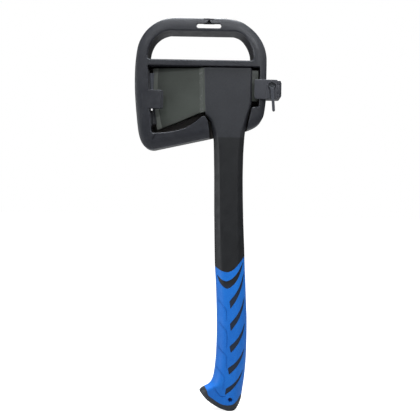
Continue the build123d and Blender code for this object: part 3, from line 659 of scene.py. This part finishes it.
# shallow engraved lines on the finger side, only as deep as the ring set in by ENGRAVE
ENGRAVE, LINE_WIDE = 0.75, 0.85
PANEL_LINES = [
    [(-17.6, 127.6), (-12.0, 121.2), (-7.4, 115.0), (-6.8, 101.0)],
    [(-16.4, 99.6), (-10.8, 93.3), (-6.3, 87.0), (-5.5, 67.0)],
    [(-17.0, 68.4), (-12.0, 62.3), (-6.3, 56.0), (-5.7, 41.4)],
    [(-18.6, 42.2), (-13.2, 35.8), (-8.3, 29.6), (-9.6, 13.0)],
    [(-22.0, 16.6), (-17.6, 10.6), (-11.9, 4.4), (-6.4, 4.6)],
]
inside = body_between("cut_inside", CORE_LOW, CORE_HIGH, ENGRAVE)
for i, points in enumerate(PANEL_LINES):
    path = np.array(smooth(points, step=1.0))
    t = np.gradient(path, axis=0)
    n = np.stack([t[:, 1], -t[:, 0]], 1) / np.linalg.norm(t, axis=1)[:, None]
    band = np.concatenate([path + n * LINE_WIDE / 2, (path - n * LINE_WIDE / 2)[::-1]])
    cutter = plate(f"cut_line_{i}", band, -SIDE, SIDE)
    boolean(cutter, inside, keep=True)
    boolean(grip, cutter)
bpy.data.objects.remove(inside)

# lanyard hole: a lining through the grip, bored to a waist with softened mouths
HOLE_R, WAIST_R, LINING_R, CORE_BORE_R = 2.6, 2.25, 5.0, 5.1
WAIST = ((WAIST_R, -10.0), (WAIST_R, 10.0))
MOUTH = ((HOLE_R + 0.5, 11.8), (HOLE_R + 0.8, 12.9), (HOLE_R + 1.5, 13.8), (HOLE_R + 1.5, 16.0))


def bore(name, steps):
    """Round bar across the tool through (radius, depth) steps, on the lanyard hole's axis."""
    return rings(name, [lay(circle(0, 0, r, 48), y) for r, y in steps])


boolean(grip, bore("cut_lining", ((LINING_R, -11.0), (LINING_R, 11.0))), "UNION")
mouth_behind = [(r, -y) for r, y in reversed(MOUTH)]
boolean(grip, bore("cut_lanyard", (*mouth_behind, *WAIST, *MOUTH)))

# handle: bare upper part, core under the grip, ribs that fill the grip's windows
handle = body_between("handle_shell", HANDLE_LOW, HANDLE_HIGH, 0, round_top=1.6)
boolean(handle, over("cut_collar", COLLAR, PAST_HANDLE), "INTERSECT")
slim = body_between("slim_core", CORE_LOW, SLIM_HIGH, SLIM_INSET)
boolean(slim, over("cut_core", CAP_TOP, PAST_GRIP, 0.3), "INTERSECT")
boolean(handle, slim, "UNION")
ribs_inside = body_between("ribs_inside", CORE_LOW, SLIM_HIGH, RIB_INSET)
boolean(ribs_inside, over("cut_ribs", CAP_TOP, PAST_GRIP, 0.3), "INTERSECT")
for cutter in window_plates("rib", RIB_GAP):
    boolean(cutter, ribs_inside, "INTERSECT", keep=True)
    boolean(handle, cutter, "UNION")
bpy.data.objects.remove(ribs_inside)
boolean(handle, bore("cut_core_bore", ((CORE_BORE_R, -20.0), (CORE_BORE_R, 20.0))))
finish_piece(grip, "hatchet", "grip", [BLUE], 40)
finish_piece(cap, "hatchet", "butt_cap", [CAP], 40)
finish_piece(handle, "hatchet", "handle", [BLACK], 28)

# ---------------------------------------------------------------- head
def circle_through(a, b, c):
    """Centre x, z and radius of the circle through three points."""
    d = 2 * (a[0] * (b[1] - c[1]) + b[0] * (c[1] - a[1]) + c[0] * (a[1] - b[1]))
    aa, bb, cc = (q[0] ** 2 + q[1] ** 2 for q in (a, b, c))
    x = (aa * (b[1] - c[1]) + bb * (c[1] - a[1]) + cc * (a[1] - b[1])) / d
    z = (aa * (c[0] - b[0]) + bb * (a[0] - c[0]) + cc * (b[0] - a[0])) / d
    return x, z, math.hypot(a[0] - x, a[1] - z)


arc = circle_through((-106.0, 423.5), (-107.0, 400.0), (-99.5, 344.0))      # the cutting edge
HEAD_TOP = 423.5
heel_line = through([
    (-114, 337.4), (-99.5, 344.0), (-85, 349.6), (-72, 354.8), (-58, 360.8), (-45, 366.0), (-30, 368.6),
])
EDGE_HALF, BEVEL_HALF, CHEEK_HALF, SHOULDER_HALF = 0.14, 1.9, 8.5, 12.4     # half thicknesses
BEVEL = 6.5                                 # width of the ground bevel
SHOULDER, FLUSH = 5.6, 1.2                  # distances before the joint where these parts start
CHEEK_CURVE, HIDDEN = 0.96, 4.0             # crown of the cheek; length inside the housing
JOINT_X, JOINT_LEAN = -41.4, 0.036


def edge_at(z, back=0.0):
    return arc[0] - math.sqrt((arc[2] - back) ** 2 - (z - arc[1]) ** 2)


def joint_at(z):
    """Line where the blade goes into the housing."""
    return JOINT_X + (HEAD_TOP - z) * JOINT_LEAN


def column(t, z):
    """Place and half thickness of the blade at height z.
    t: 0 to 1 ground bevel, 1 to 2 cheek, 2 to 3 shoulder, 3 to 4 inside the housing."""
    bevel, start, flush = edge_at(z, BEVEL), joint_at(z) - SHOULDER, joint_at(z) - FLUSH
    if t <= 1:
        return edge_at(z, BEVEL * t), EDGE_HALF + (BEVEL_HALF - EDGE_HALF) * t
    if t <= 2:
        thicker = (CHEEK_HALF - BEVEL_HALF) * (t - 1) ** CHEEK_CURVE
        return bevel + (start - bevel) * (t - 1), BEVEL_HALF + thicker
    if t <= 3:
        return start + (flush - start) * (t - 2), CHEEK_HALF + (SHOULDER_HALF - CHEEK_HALF) * (t - 2)
    return flush + HIDDEN * (t - 3), SHOULDER_HALF


# columns lie close together on both sides of each change of slope
columns = [0, 0.04, 0.1, 0.24, 0.45, 0.7, 0.9, 0.97, 1, 1.006, 1.02, 1.06]
columns += list(np.arange(1.12, 1.93, 0.06))
columns += [1.96, 1.985, 1.995, 2, 2.04, 2.12, 2.35, 2.65, 2.88, 2.96, 3, 3.1, 3.6, 4]
HEEL_START, HEEL_ROUNDS, ROWS = 350.0, 30, 33
blade_rings = []
for t in columns:
    low = HEEL_START
    for _ in range(HEEL_ROUNDS):
        low = heel_line(column(t, low)[0])
    front = []
    for z in low + (HEAD_TOP - low) * np.linspace(0, 1, ROWS):
        x, half = column(t, z)
        front.append((x, -half, z))
    blade_rings.append(front + [(x, -y, z) for x, y, z in reversed(front)])
head = rings("head_steel", blade_rings)
apply(head, "BEVEL", width=0.55 * MM, segments=2, limit_method="ANGLE", angle_limit=math.radians(40))
TANG_HALF, POLL_HALF = 8, 9.5
tang = plate("tang", panel(-46, 384, 14, 418.5, 2), -TANG_HALF, TANG_HALF, 0.4)
poll_outline = rounded([(10, 381.9), (29.2, 381.9), (29.6, 421.8), (10, 421.8)], [1, 2.4, 2.4, 1])
poll = plate("poll", poll_outline, -POLL_HALF, POLL_HALF, 1.1)
boolean(tang, poll, "UNION")
boolean(head, tang, "UNION")

STEEL = coated_steel(
    "coated_steel", rgb(58, 62, 57), rgb(50, 54, 49), rgb(100, 103, 98), rgb(150, 152, 148), arc)
finish_piece(head, "hatchet", "head", [STEEL], 34)

# ---------------------------------------------------------------- guard
DEEP = 16.5         # half depth of the guard
TRAY_BACK = 14.1    # depth of the tray's floor
left_side = smooth(
    [(-122.2, 336.0), (-125.9, 362.0), (-128.8, 400.0), (-128.0, 433.0), (-124.2, 454.0), (-115.2, 469.4),
     (-103.0, 479.6), (-91.0, 485.0), (-79.0, 486.8)], before=(-118.8, 327.0), after=(-66, 487.2))
right_side = smooth(
    [(-14.0, 486.8), (5.5, 482.6), (21.2, 472.0), (29.9, 462.0), (35.4, 452.0), (38.6, 440), (39.1, 428.0)],
    before=(-28, 487.2), after=(39.1, 415))
corner = smooth(
    [(39.1, 392.0), (38.2, 376.0), (35.6, 361.6), (31.0, 354.2), (24.6, 349.4), (12.2, 344.2)],
    before=(39.4, 405), after=(0, 341.4))
foot = smooth(
    [(-103.0, 318.1), (-109.0, 318.6), (-114.2, 321.2), (-118.6, 326.6), (-122.2, 336.0)],
    before=(-95, 319.9), after=(-124.4, 350))
guard_outline = join(left_side, right_side, corner, foot)
opening = join(
    line((-109.6, 433.0), (18.8, 433.0)),
    smooth([(18.8, 433.0), (21.6, 434.3), (22.4, 437.0)], step=0.6),
    smooth(
        [(22.4, 437.0), (20.6, 447.2), (15.2, 458.4), (8.4, 465.8), (-1.0, 469.6)],
        before=(22.6, 430), after=(-9, 470.2)),
    smooth(
        [(-86.0, 469.6), (-96.4, 465.8), (-105.4, 458.0), (-110.8, 447.4), (-112.8, 436.8)],
        before=(-78, 470.2), after=(-113, 430)),
    smooth([(-112.8, 436.8), (-112.2, 434.2), (-109.6, 433.0)], step=0.6),
)
window = join(
    line((-31.4, 325.0), (14.0, 325.0), (14.9, 342.0), (16.6, 352.0), (20.6, 371.0)),
    smooth([(20.6, 371.0), (21.6, 373.2), (24.0, 374.0)], step=0.6),
    smooth([(24.0, 374.0), (28.4, 374.4), (29.8, 376.0), (30.2, 380.0)], step=0.6),
    line((30.8, 424.0), (29.6, 425.4), (-111.4, 425.4), (-112.6, 424.0), (-108.8, 366.0), (-106.8, 342.4)),
    smooth([(-106.8, 342.4), (-106.0, 339.6), (-103.4, 338.6)], step=0.6),
    smooth(
        [(-103.4, 338.6), (-92, 339.4), (-81.0, 341.0), (-62.0, 346.4), (-49.5, 354.8), (-42.8, 360.4)],
        step=1.0),
    smooth([(-42.8, 360.4), (-40.4, 361.4), (-38.0, 360.2), (-35.2, 355.2), (-32.9, 342.0)], step=0.6),
)


def flared(name, loop, back, lip):
    """Cutter from the front down to a depth, wider at the mouth so that it leaves a rounded rim."""
    steps = [(-DEEP - 1, lip * 1.25), (-DEEP, lip)]
    steps += [(-DEEP + lip * math.sin(w), lip * (1 - math.sin(w))) for w in np.linspace(0.25, math.pi / 2, 5)]
    return rings(name, [lay(grown(loop, g), y) for y, g in steps + [(back, 0.0)]])


CROWN, CROWN_WIDE = 1.9, 12.5       # fall of the front towards its rim, and how far in it starts
EDGE_ROUND, BACK_ROUND = 3.2, 3.4   # radii of the outer edges at the front and at the back
EDGE_TURN = math.radians(73)        # the front edge's arc stops where it meets the crown


def shell_profile():
    """Inset and depth of the outer wall, from the back face round to a front that falls away to its rim."""
    start = EDGE_ROUND * (1 - math.cos(EDGE_TURN))
    steps = [(BACK_ROUND * (1 - math.sin(w)), DEEP - BACK_ROUND * (1 - math.cos(w)))
             for w in np.linspace(0, math.pi / 2, 6)]
    for w in np.linspace(0, EDGE_TURN, 6):
        fall = EDGE_ROUND * (math.sin(EDGE_TURN) - math.sin(w))
        steps.append((EDGE_ROUND * (1 - math.cos(w)), -DEEP + CROWN + fall))
    steps += [(s, -DEEP + CROWN * ((CROWN_WIDE - s) / (CROWN_WIDE - start)) ** 2)
              for s in np.linspace(start, CROWN_WIDE, 7)[1:]]
    return steps


guard = rings("guard_shell", [lay(grown(guard_outline, -s), y) for s, y in shell_profile()])

# carry opening: rounded front rim, walls that draw in towards the back
RIM = 1.7
FRONT_LOW, FRONT_SIZE = (-112.8, 433.0), (135.2, 36.6)      # lower left corner and size at the front
BACK_LOW, BACK_SIZE = (-110.8, 434.4), (130.0, 34.4)        # and at the back
opening_steps = [(-DEEP - 1, 2.2)]
for w in np.linspace(0, math.pi / 2, 6):
    opening_steps.append((-DEEP + RIM * math.sin(w), RIM * (1 - math.sin(w))))
opening_back = [
    tuple(BACK_LOW[i] + (q[i] - FRONT_LOW[i]) * BACK_SIZE[i] / FRONT_SIZE[i] for i in (0, 1))
    for q in opening
]
opening_cut = [lay(grown(opening, g), y) for y, g in opening_steps]
opening_cut.append(lay(opening_back, DEEP + 1))
boolean(guard, rings("cut_opening", opening_cut))
boolean(guard, flared("cut_tray", window, TRAY_BACK, 0.9))

# hollows of the rails, open at the back
FRONT_WALL = 3.2
hollow_top = join(
    smooth(
        [(-119.0, 342.0), (-122.9, 364.0), (-125.8, 400.0), (-125.0, 433.0), (-121.4, 452.6), (-112.9, 467.0),
         (-101.6, 476.8), (-90.2, 482.0), (-79.0, 483.8)], after=(-66, 484)),
    smooth(
        [(-14.0, 483.8), (4.3, 479.9), (19.2, 469.8), (27.6, 459.9), (32.6, 450.6), (35.6, 440),
         (36.1, 430.0)], before=(-28, 484)),
    line((36.1, 410.8), (33.8, 410.8), (33.8, 424.0)),
    smooth([(25.4, 437.0), (23.6, 448.0), (17.6, 460.4), (9.8, 468.6), (-0.4, 472.6)], after=(-9, 473)),
    smooth(
        [(-86.4, 472.6), (-98.0, 468.4), (-107.8, 460.0), (-113.6, 448.4), (-115.8, 436.6)],
        before=(-78, 473)),
    line((-115.6, 424.0), (-111.8, 366.0), (-110.0, 343.0)),
)
hollow_low = join(
    smooth([(-105.0, 335.2), (-92, 336.0), (-81.0, 337.8), (-62.0, 343.2), (-48.0, 351.4), (-41.6, 357.0)]),
    line((-38.0, 352.4), (-36.2, 336.4), (-102.6, 321.3)),
    smooth([(-102.6, 321.3), (-108.4, 322.0), (-112.8, 324.6), (-116.0, 329.4), (-117.4, 334.4)]),
)
hollow_foot = join(line(
    (19.4, 352.6), (23.6, 370.0), (33.0, 371.4), (33.4, 383.0), (36.0, 383.0), (35.2, 376.4), (32.8, 363.4),
    (25.0, 353.4)))
hollow_bar = panel(-104, 428.0, 18, 430.8, 1.3)
for i, loop in enumerate((hollow_top, hollow_low, hollow_foot, hollow_bar)):
    boolean(guard, plate(f"cut_rail_{i}", loop, -DEEP + FRONT_WALL, DEEP + 1))

# blade tab with a lower lip at its end, and the window in the back wall behind it
TAB_LOW, TAB_HIGH, TAB_BACK = 369.7, 393.6, -12.9
tab = plate("tab", panel(-118, TAB_LOW, -94.6, TAB_HIGH, [1, 1.6, 1.6, 1]), -DEEP, TAB_BACK, 0.7)
lip_outline = panel(-100, TAB_LOW + 0.3, -92, TAB_HIGH - 0.3, [0.5, 1.8, 1.8, 0.5])
boolean(tab, plate("tab_lip", lip_outline, -DEEP + 1.0, TAB_BACK, 0.6), "UNION")
boolean(guard, tab, "UNION")
see_through = panel(-111.6, TAB_LOW + 1.2, -92, TAB_HIGH, 1.0)
boolean(guard, plate("cut_see_through", see_through, 12, DEEP + 1))

# rail behind the edge liner, along the leaning tilt axis
tilt = next(j for j in frame["joints"] if j["name"] == "guard_tilt")
axis_at = np.array(tilt["pos_m"]) / MM
axis_up = np.array(tilt["axis"])
axis_out = np.array([axis_up[2], 0.0, -axis_up[0]])


def along(loop, s):
    """Outline given across the tilt axis, placed at distance s along it."""
    return [tuple(axis_at + axis_up * s + axis_out * x + np.array([0, y, 0])) for x, y in loop]


NECK = (366.4, 394.8)           # heights between which the rail is left out, behind the tab
RAIL_HALF, GROOVE_HALF, GROOVE_R = 36, 38, 3.08
rail_loop = panel(-7, -9, -1, 14.6, [0.6, 1.2, 0.3, 0.3])
for low, high in ((-RAIL_HALF, NECK[0] - axis_at[2]), (NECK[1] - axis_at[2], RAIL_HALF)):
    boolean(guard, rings("rail", [along(rail_loop, s) for s in (low, high)]), "UNION")
boolean(guard, rings("cut_groove", [along(circle(0, 0, GROOVE_R), s) for s in (-GROOVE_HALF, GROOVE_HALF)]))

# hang slot with a peak in its middle
slot_x, slot_z, relief_top = -35.4, 476.3, 485.6
SLOT_HALF, RELIEF_HALF, BACK_UP_HALF, PEAK_HALF, PEAK_TIP_HALF = 15.8, 15.5, 7, 4.2, 0.7
hang = panel(slot_x - SLOT_HALF, slot_z - 3.2, slot_x + SLOT_HALF, slot_z + 3.3, 2.8)
boolean(guard, flared("cut_hang", hang, DEEP + 1, 0.6))
relief = panel(slot_x - RELIEF_HALF, 474.0, slot_x + RELIEF_HALF, relief_top, 1.5)
boolean(guard, plate("cut_relief", relief, -DEEP + 9.0, DEEP + 1))
back_up = panel(slot_x - BACK_UP_HALF, slot_z + 3.4, slot_x + BACK_UP_HALF, relief_top, 0.4)
boolean(guard, plate("peak_back", back_up, -DEEP + 1.6, -DEEP + 8.6), "UNION")
peak_low, peak_high = slot_z + 2.4, slot_z + 7.4
peak = rounded(
    [(slot_x - PEAK_HALF, peak_low), (slot_x + PEAK_HALF, peak_low),
     (slot_x + PEAK_TIP_HALF, peak_high), (slot_x - PEAK_TIP_HALF, peak_high)], [0.5, 0.5, 0.4, 0.4])
boolean(guard, plate("cut_peak", peak, -DEEP - 1, -DEEP + 6.0))

# lug, knuckles and the pocket for the lever's ring
pin_low, pin_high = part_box("hinge_pin")
hinge_x, hinge_y = ((pin_low[i] + pin_high[i]) / 2 / MM for i in (0, 1))
KNUCKLES = (390.2, 402.2)       # heights of the flap's knuckle
LUG = (386.4, 407.2)
KNUCKLE_GAP = 0.3
BARREL_R, BARREL_ROOM = 3.2, 3.6            # radii of a knuckle and of the room for one
PIN_HOLE_R, FLAP_PIN_HOLE_R = 1.52, 1.55


def on_hinge(name, radius, low, high, edge=0.0):
    """Round bar on the hinge pin's axis, between two heights."""
    return plate(name, circle(hinge_x, hinge_y, radius), low, high, edge, plane="top")


lug = plate("lug", panel(34, LUG[0], 58.4, LUG[1], [1, 3.0, 2.2, 1]), -DEEP, DEEP, 1.0)
lug_step = panel(hinge_x, -20, 62, -12.2, [0.1, 0.1, 0.1, 1.2])
boolean(lug, plate("cut_lug", lug_step, LUG[0] - 1, LUG[1] + 1, plane="top"))
boolean(guard, lug, "UNION")
web_outline = panel(hinge_x - 3.1, hinge_y, hinge_x + 1.9, -11.2, 0.2)
for z0, z1 in ((LUG[0] + 0.05, KNUCKLES[0] - KNUCKLE_GAP), (KNUCKLES[1] + KNUCKLE_GAP, LUG[1] - 0.05)):
    boolean(guard, plate("web", web_outline, z0 + 0.1, z1 - 0.1, plane="top"), "UNION")
    boolean(guard, on_hinge("barrel", BARREL_R, z0, z1, 0.4), "UNION")
boolean(guard, on_hinge("cut_knuckle", BARREL_ROOM, KNUCKLES[0] - KNUCKLE_GAP, KNUCKLES[1] + KNUCKLE_GAP))
boolean(guard, on_hinge("cut_pin", PIN_HOLE_R, LUG[0] - 1, LUG[1] + 1))
hub_x, hub_z = 45.6, 400.0
boolean(guard, plate("cut_keeper", circle(hub_x, hub_z, 6.2), -DEEP - 1, -DEEP + 2.6))
finish_piece(guard, "guard", "guard_frame", [GUARD, FLAP, TRAY_PAINTED_LIGHT], 30)

# painted light: the lug takes the flap's lighter tone as a painted highlight, and the tray's floor takes
# painted bounce light
LUG_LEFT, TRAY_RIGHT = 39.6, 34
for face in guard.data.polygons:
    place = face.center / MM
    if place.x > LUG_LEFT and LUG[0] - 0.2 < place.z < LUG[1] + 0.2:
        face.material_index = 1
    # painted bounce light on the tray's floor
    elif place.y > TRAY_BACK - 1 and face.normal.y < -0.7 and place.x < TRAY_RIGHT:
        face.material_index = 2

# ---------------------------------------------------------------- latch flap
FLAP_BACK = -DEEP - 0.15
FLAP_FRONT, RAISED_FRONT = FLAP_BACK - 2.7, FLAP_BACK - 3.3
flap_edge = hinge_x - BARREL_ROOM
flap_outline = rounded(
    [(23.6, 383.8), (flap_edge, 383.8), (flap_edge, KNUCKLES[0]), (hinge_x, KNUCKLES[0]),
     (hinge_x, KNUCKLES[1]), (flap_edge, KNUCKLES[1]), (flap_edge, 408.6), (23.6, 408.6)],
    [3.4, 0.8, 0.3, 0, 0, 0.3, 0.8, 1.8])
flap = plate("flap_plate", flap_outline, FLAP_FRONT, FLAP_BACK, 0.55)
raised_outline = panel(39.6, 384.0, hinge_x - 1.0, 408.4, [2.0, 1.4, 1.4, 2.0])
raised = plate("flap_raised", raised_outline, RAISED_FRONT, FLAP_BACK - 0.8, 0.5)
boolean(raised, on_hinge("cut_barrel", BARREL_R + 0.3, 380, 412))
boolean(flap, raised, "UNION")
boolean(flap, on_hinge("flap_knuckle", BARREL_R, KNUCKLES[0], KNUCKLES[1], 0.35), "UNION")
nose = plate("flap_nose", panel(24.2, 386.3, 28.4, 406.1, 1.0), FLAP_BACK - 1.0, -10.1, 0.5)
boolean(flap, nose, "UNION")
boolean(flap, on_hinge("cut_flap_pin", FLAP_PIN_HOLE_R, KNUCKLES[0] - 1, KNUCKLES[1] + 1))
boolean(flap, plate("cut_shank", circle(hub_x, hub_z, 2.46), FLAP_BACK - 5, FLAP_BACK + 1))
hub_steps = (
    (-24, 5.5), (RAISED_FRONT, 5.2), (FLAP_BACK - 2.9, 4.9), (FLAP_BACK - 2.4, 4.8), (FLAP_BACK - 1.3, 4.8),
)
boolean(flap, rings("cut_hub", [lay(circle(hub_x, hub_z, r), y) for y, r in hub_steps]))
finish_piece(flap, "flap", "latch_flap", [FLAP], 30)

# ---------------------------------------------------------------- lock lever
hub_back = FLAP_BACK - 1.35
lever = plate("lever_key", circle(hub_x, hub_z, 3.7), hub_back - 0.8, hub_back, 0.2)
boolean(lever, plate("cut_bowl", circle(hub_x, hub_z + 0.6, 2.9), hub_back - 2.0, hub_back - 0.3))
boolean(lever, plate("shank", circle(hub_x, hub_z, 2.4), hub_back - 0.4, FLAP_BACK + 1.45, 0.2), "UNION")

# Y-shaped root that joins the tail to both sides of the bowl, as offsets from the hub
ROOT = [
    (-3.4, -0.9), (-2.0, -4.2), (2.2, -4.2), (3.4, -0.9),
    (2.3, -0.5), (1.0, -2.4), (-1.0, -2.4), (-2.3, -0.5),
]
ROOT_RADII = [0.5, 0.5, 0.5, 0.5, 0.4, 0.6, 0.6, 0.4]
root_outline = rounded([(hub_x + x, hub_z + z) for x, z in ROOT], ROOT_RADII)
boolean(lever, plate("root", root_outline, hub_back - 5.4, hub_back - 0.3, 0.4), "UNION")

# tail: narrows along its length and closes in a round tip
TIP_FROM = 0.93
tail_rings = []
tail_points = smooth([(hub_x, hub_z - 3.3), (46.1, 392.0), (47.0, 383.0), (48.2, 367.6)], step=0.7)
for k, (x, z) in enumerate(tail_points):
    t = k / (len(tail_points) - 1)
    wide = 2.15 - 0.35 * min(t * 1.8, 1)
    deep = 1.3
    if t > TIP_FROM:
        shrink = math.sqrt(max(0.05, 1 - ((t - TIP_FROM) / 0.07) ** 2))
        wide, deep = wide * shrink, deep * (0.5 + 0.5 * shrink)
    ring = panel(-wide, -deep, wide, deep, 0.75)
    tail_rings.append([(x + u, hub_back - 4.7 + v, z) for u, v in ring])
boolean(lever, rings("tail", tail_rings), "UNION")
finish_piece(lever, "lever", "lock_lever", [LEVER, CAP], 30)

# painted shade: the hub is darker than the bar, its deeper faces taking the darker cap plastic as the shadow
# in its recess
HUB_DEPTH = 0.85
for face in lever.data.polygons:
    if face.center.y > (hub_back - HUB_DEPTH) * MM:
        face.material_index = 1

# ---------------------------------------------------------------- CAD nodes that stay
for node, mat in (("hinge_pin", PIN), ("retaining_ring", RING), ("edge_liner", LINER)):
    ob = frame["nodes"][node]
    ob.data.materials.clear()
    ob.data.materials.append(mat)

# ---------------------------------------------------------------- stage, light and camera
def white_floor(name):
    """Matt paper; to the camera it is lifted towards plain white, as a product backdrop is."""
    m = Nodes(name)
    tone = m.mix(m.span(m.noise(3, 3, 0.5), 0.3, 0.7), (0.42, 0.42, 0.422, 1), (0.45, 0.45, 0.452, 1))
    seen = m.add("ShaderNodeLightPath").outputs["Is Camera Ray"]
    x, y = m.axis(m.place, 0), m.axis(m.place, 1)
    away = m.math("SQRT", m.math("ADD", m.times(x, x), m.times(y, y)))
    glow = m.times(seen, m.span(away, 0.3, 1.3, 0.86, 1.05))
    return m.finish(tone, 0.9, Emission_Color=(1, 1, 1, 1), Emission_Strength=glow, Specular_IOR_Level=0.1)


FLOOR_REACH, FLOOR_LINES, FLOOR_GAP = 30, 13, 0.0004
floor_z = cad_bounds[0][2] - FLOOR_GAP
grid = list(np.linspace(-FLOOR_REACH, FLOOR_REACH, FLOOR_LINES))
verts = [(x, y, floor_z) for y in grid for x in grid]
starts = [FLOOR_LINES * j + i for j in range(FLOOR_LINES - 1) for i in range(FLOOR_LINES - 1)]
faces = [(k, k + 1, k + FLOOR_LINES + 1, k + FLOOR_LINES) for k in starts]
floor_mesh = bpy.data.meshes.new("floor")
floor_mesh.from_pydata(verts, [], faces)
floor = link("floor", floor_mesh)
floor.data.materials.append(white_floor("floor_white"))

AIM = (-0.02, 0.0, 0.27)
WHITE, WARM, PALE = (1, 1, 1), (1.0, 0.99, 0.97), (0.97, 0.98, 1.0)
COOL, CREST, BLUISH = (0.95, 0.98, 1.0), (0.94, 0.97, 1.0), (0.92, 0.96, 1.0)


def lamp(name, place, target, size, power, tint):
    """Round area lamp at a place, turned towards its target."""
    data = bpy.data.lights.new(name, "AREA")
    data.shape, data.size, data.energy, data.color = "DISK", size, power, tint
    ob = bpy.data.objects.new(name, data)
    bpy.context.scene.collection.objects.link(ob)
    ob.location = place
    ob.rotation_euler = (Vector(target) - Vector(place)).to_track_quat("-Z", "Y").to_euler()


lamp("front", (-0.1, -0.95, 1.15), (-0.03, 0.0, 0.3), 0.7, 2.4, WARM)
lamp("left", (-1.25, -0.42, 0.35), (-0.05, 0.0, 0.2), 1.0, 10, COOL)
lamp("right", (0.8, -0.3, 0.85), (0.02, 0.0, 0.36), 0.6, 2.5, PALE)
lamp("overhead", (-0.05, -0.12, 1.3), (-0.05, 0.0, 0.45), 0.7, 22, BLUISH)
# three small lamps that catch the rounded crest of the guard
lamp("crest_right", (0.26, -0.9, 0.9), (0.02, 0.0, 0.46), 0.25, 3.2, CREST)
lamp("crest_left", (-0.42, -0.9, 0.86), (-0.1, 0.0, 0.45), 0.25, 1.3, CREST)
lamp("crest_side", (0.43, -1.0, 0.61), (0.03, 0.0, 0.4), 0.25, 0.9, CREST)
lamp("behind", (-0.15, 1.05, 1.6), AIM, 0.9, 26, WHITE)

# white surroundings: plain white to the camera, faint as a light on the object
AMBIENT = 0.1
world = bpy.data.worlds.new("world")
bpy.context.scene.world = world
world.use_nodes = True
tree = world.node_tree
sky = tree.nodes["Background"]
path_info = tree.nodes.new("ShaderNodeLightPath")
level = tree.nodes.new("ShaderNodeMapRange")
level.inputs["To Min"].default_value = AMBIENT
level.inputs["To Max"].default_value = 1.0
tree.links.new(path_info.outputs["Is Camera Ray"], level.inputs["Value"])
tree.links.new(level.outputs[0], sky.inputs["Strength"])
sky.inputs["Color"].default_value = (1, 1, 1, 1)

CAMERA_AT, FIELD, ROLL = (-0.03, -1.012, 0.242), 30.0, -1.0     # metres, degrees, degrees
cam_data = bpy.data.cameras.new("camera")
cam_data.sensor_width = 36.0
cam_data.angle = math.radians(FIELD)
cam = bpy.data.objects.new("camera", cam_data)
bpy.context.scene.collection.objects.link(cam)
cam.location = CAMERA_AT
cam.rotation_euler = (math.radians(90), math.radians(ROLL), 0)
bpy.context.scene.camera = cam
bpy.context.scene.view_settings.view_transform = "Standard"
